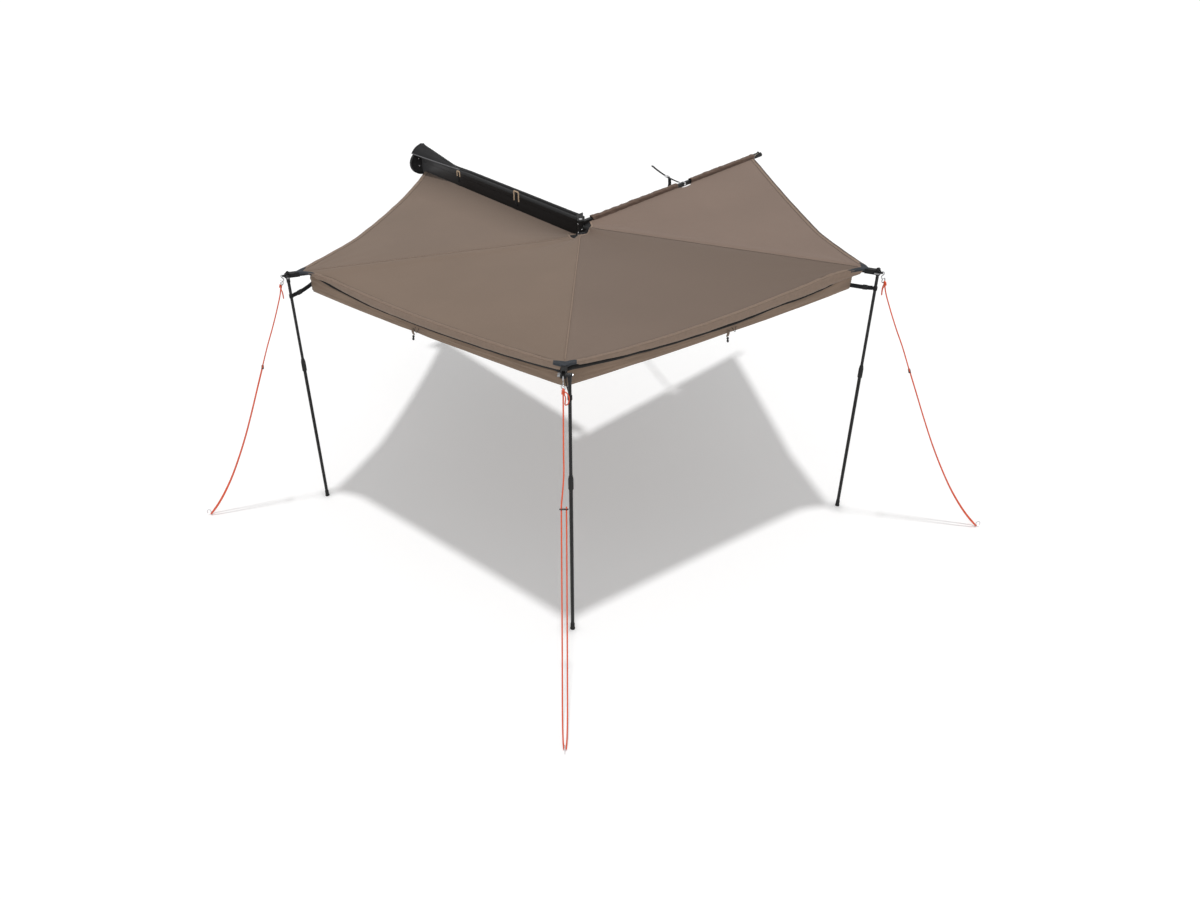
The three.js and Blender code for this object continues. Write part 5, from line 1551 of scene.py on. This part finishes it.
class AWNING_OT_guy_lines(bpy.types.Operator):
    """Make the three guy lines with their hooks, sliders and pegs"""

    bl_idname = "awning.guy_lines"
    bl_label = "Guy lines"

    # The hook's wire in millimetres from the lug, out and up, and the drop from the lug to its ring.
    WIRE = [(-7, -6), (-8, 2), (-4, 9), (4, 9), (9, 2), (7, -7), (0, -15), (-4, -24), (-1, -34), (7, -38.5)]
    WIRE += [(15, -35), (17, -28)]
    RING_DROP = -0.0475
    # The rope's tail: distances along the rope, to the side and down.
    TAIL = [(0.018, 0.005, 0), (0.016, 0.019, 0.012), (0, 0.030, 0.060), (0, 0.022, 0.098)]
    TAIL += [(0, 0.010, 0.102), (0, 0.012, 0.060), (0.030, 0.004, 0)]

    def execute(self, context):
        sizes = context.scene.awning_sizes
        for i in range(3):
            n = i + 1
            lug = arm_point(i, TIP_RADII[i] + 0.0314, 0, tip_level(i) - 0.002)
            start = lug + outward(i) * 0.017 + rise(self.RING_DROP)
            end = np.array([*PEGS[i], GROUND])
            span = (end - start) * (1, 1, 0)
            across = np.array([-span[1], span[0], 0]) / np.linalg.norm(span)
            rows = []
            for share, side, fall in ROPE_ROUTE:
                level = start * (1, 1, 0) + span * share + across * side * STRAND_GAP
                rows.append(level + rise(start[2] + (end[2] - start[2]) * fall))
            path = catmull(rows, sizes.strand_detail)
            rope = tube(f"guy_line_{n}", path, sizes.rope / 2, braided_rope())
            put(rope, f"arm_{n}", f"rope_{n}")
            self.hook(i, lug, start, across, path)
            dress(f"slider_{n}", metal(0.02, 0.5, 0.0))
            dress(f"peg_{n}", metal(0.6, 0.3, 1.0))
        return {"FINISHED"}

    def hook(self, i, lug, start, across, path):
        """The steel hook with its ring, and the knot and tail that tie the rope to it."""
        n, arm, out = i + 1, f"arm_{i + 1}", outward(i)
        steel = metal(0.40, 0.28, 1.0)
        wire = [lug + out * a / 1000 + rise(b / 1000) for a, b in self.WIRE]
        put(tube(f"s_hook_{n}", catmull(wire, 6), 0.0034, steel, 10), arm, f"hook_{n}")
        centre, flat = lug + out * 0.0105 + rise(self.RING_DROP), out * 0.6 + sideways(i) * 0.8
        loop = circle(centre, 0.0130, flat, rise(1.0), np.linspace(0, math.tau, 33))
        put(tube(f"rope_ring_{n}", loop, 0.0031, steel, 10), arm)
        down = unit(path[12] - path[0])
        two, turns = np.cross(down, across), []
        for k in range(61):
            turns += circle(start + down * (0.010 + 0.024 * k / 60), 0.0062, across, two, [math.tau * k / 20])
        put(tube(f"rope_knot_{n}", turns, 0.0034, braided_rope(), 8), arm)
        tail = catmull([start + down * a + across * b - rise(c) for a, b, c in self.TAIL], 8)
        put(tube(f"rope_tail_{n}", tail, 0.0032, braided_rope(), 8), arm)


def seen_directly(tree):
    """1 where the camera, a gloss or clear material sees a thing, else 0."""
    paths = tree.nodes.new("ShaderNodeLightPath").outputs
    seen = paths["Is Camera Ray"]
    for other in ("Is Glossy Ray", "Is Transmission Ray"):
        either = tree.nodes.new("ShaderNodeMath")
        either.operation = "MAXIMUM"
        tree.links.new(seen, either.inputs[0])
        tree.links.new(paths[other], either.inputs[1])
        seen = either.outputs[0]
    return seen


class AWNING_OT_stage(bpy.types.Operator):
    """Make the floor, the lamps, the backdrop and the camera"""

    bl_idname = "awning.stage"
    bl_label = "Stage"

    # Half the floor's width.
    FLOOR = 40
    # Strength and apparent width in degrees of each lamp.
    LAMPS = {"overhead": (1.5, 3.2), "fill": (0.8, 60)}
    BACKDROP_LIGHT, FLOOR_LIFT = 0.46, 0.06
    # The camera: focal length and shifts, place, and its yaw, pitch and roll in degrees.
    LENS, SHIFT_X, SHIFT_Y = 26.841, 0.034, -0.0921
    PLACE, ANGLES = (5.4105, -4.054, 2.469), (139.25, 29.47, -1.06)

    def execute(self, context):
        square = ((-1, -1), (1, -1), (1, 1), (-1, 1))
        points = [(x * self.FLOOR, y * self.FLOOR, GROUND - 0.0005) for x, y in square]
        mesh_piece("floor", points, [(0, 1, 2, 3)], self.floor_finish())
        self.backdrop(context.scene)
        for name, (energy, degrees) in self.LAMPS.items():
            lamp = bpy.data.lights.new(name, "SUN")
            lamp.energy, lamp.angle = energy, math.radians(degrees)
            made = placed(name, lamp)
            if name == "fill":
                made.rotation_euler = Vector((-0.76, 0.65, -0.42)).to_track_quat("-Z", "Y").to_euler()
        self.camera(context.scene)
        context.scene.view_settings.view_transform = "Standard"
        return {"FINISHED"}

    def floor_finish(self):
        """Matt white, lifted to the page's white where the camera or a gloss sees it."""
        made = Finish("floor", 1.0)
        seen = seen_directly(made.tree)
        made.colour(made.mixed(seen, (0.8, 0.8, 0.8), (0.98, 0.98, 0.98)))
        made.shader.inputs["Specular IOR Level"].default_value = 0.0
        made.shader.inputs["Emission Color"].default_value = (1, 1, 1, 1)
        lift = made.reckon("MULTIPLY", seen, self.FLOOR_LIFT)
        made.tree.links.new(lift, made.shader.inputs["Emission Strength"])
        return made.material

    def backdrop(self, scene):
        """A dim even light, with the page's white behind the part."""
        world = bpy.data.worlds.new("backdrop")
        world.use_nodes = True
        tree = world.node_tree
        light = tree.nodes["Background"]
        light.inputs["Color"].default_value = (1, 1, 1, 1)
        light.inputs["Strength"].default_value = self.BACKDROP_LIGHT
        page = tree.nodes.new("ShaderNodeBackground")
        page.inputs["Strength"].default_value = 1.0
        mix = tree.nodes.new("ShaderNodeMixShader")
        for k, socket in enumerate((seen_directly(tree), light.outputs[0], page.outputs[0])):
            tree.links.new(socket, mix.inputs[k])
        tree.links.new(mix.outputs[0], tree.nodes["World Output"].inputs["Surface"])
        scene.world = world

    def camera(self, scene):
        lens = bpy.data.cameras.new("camera")
        lens.sensor_width, lens.clip_end = 36, 100
        lens.lens, lens.shift_x, lens.shift_y = self.LENS, self.SHIFT_X, self.SHIFT_Y
        yaw, pitch, roll = (math.radians(a) for a in self.ANGLES)
        ahead = Vector((math.cos(pitch) * math.cos(yaw), math.cos(pitch) * math.sin(yaw), -math.sin(pitch)))
        right = Vector((math.sin(yaw), -math.cos(yaw), 0))
        up = right.cross(ahead)
        across = math.cos(roll) * right + math.sin(roll) * up
        upright = -math.sin(roll) * right + math.cos(roll) * up
        turn = Matrix((across, upright, -ahead)).transposed().to_4x4()
        made = placed("camera", lens)
        made.matrix_world = Matrix.Translation(self.PLACE) @ turn
        scene.camera = made


class AWNING_PT_sidebar(bpy.types.Panel):
    """Lists the awning's sizes, colours and steps"""

    bl_idname = "AWNING_PT_sidebar"
    bl_label = "Side awning"
    bl_space_type = "VIEW_3D"
    bl_region_type = "UI"
    bl_category = "Awning"

    def draw(self, context):
        for group in (context.scene.awning_sizes, context.scene.awning_colours):
            for name in group.__annotations__:
                self.layout.prop(group, name)
        for step in STEPS:
            self.layout.operator(step.bl_idname)


STEPS = (
    AWNING_OT_stage,
    AWNING_OT_guy_lines,
    AWNING_OT_elastic,
    AWNING_OT_canopy,
    AWNING_OT_canopy_seams,
    AWNING_OT_sleeve,
    AWNING_OT_valances,
    AWNING_OT_leg_straps,
    AWNING_OT_cover,
    AWNING_OT_closures,
    AWNING_OT_tie_strap,
    AWNING_OT_fasteners,
    AWNING_OT_finishes,
)
CLASSES = (AwningSizes, AwningColours, *STEPS, AWNING_PT_sidebar)


def register():
    for item in CLASSES:
        bpy.utils.register_class(item)
    bpy.types.Scene.awning_sizes = PointerProperty(type=AwningSizes)
    bpy.types.Scene.awning_colours = PointerProperty(type=AwningColours)


def unregister():
    del bpy.types.Scene.awning_colours
    del bpy.types.Scene.awning_sizes
    for item in reversed(CLASSES):
        bpy.utils.unregister_class(item)


def main():
    register()
    for step in STEPS:
        group, name = step.bl_idname.split(".")
        getattr(getattr(bpy.ops, group), name)()


if __name__ == "__main__":
    main()
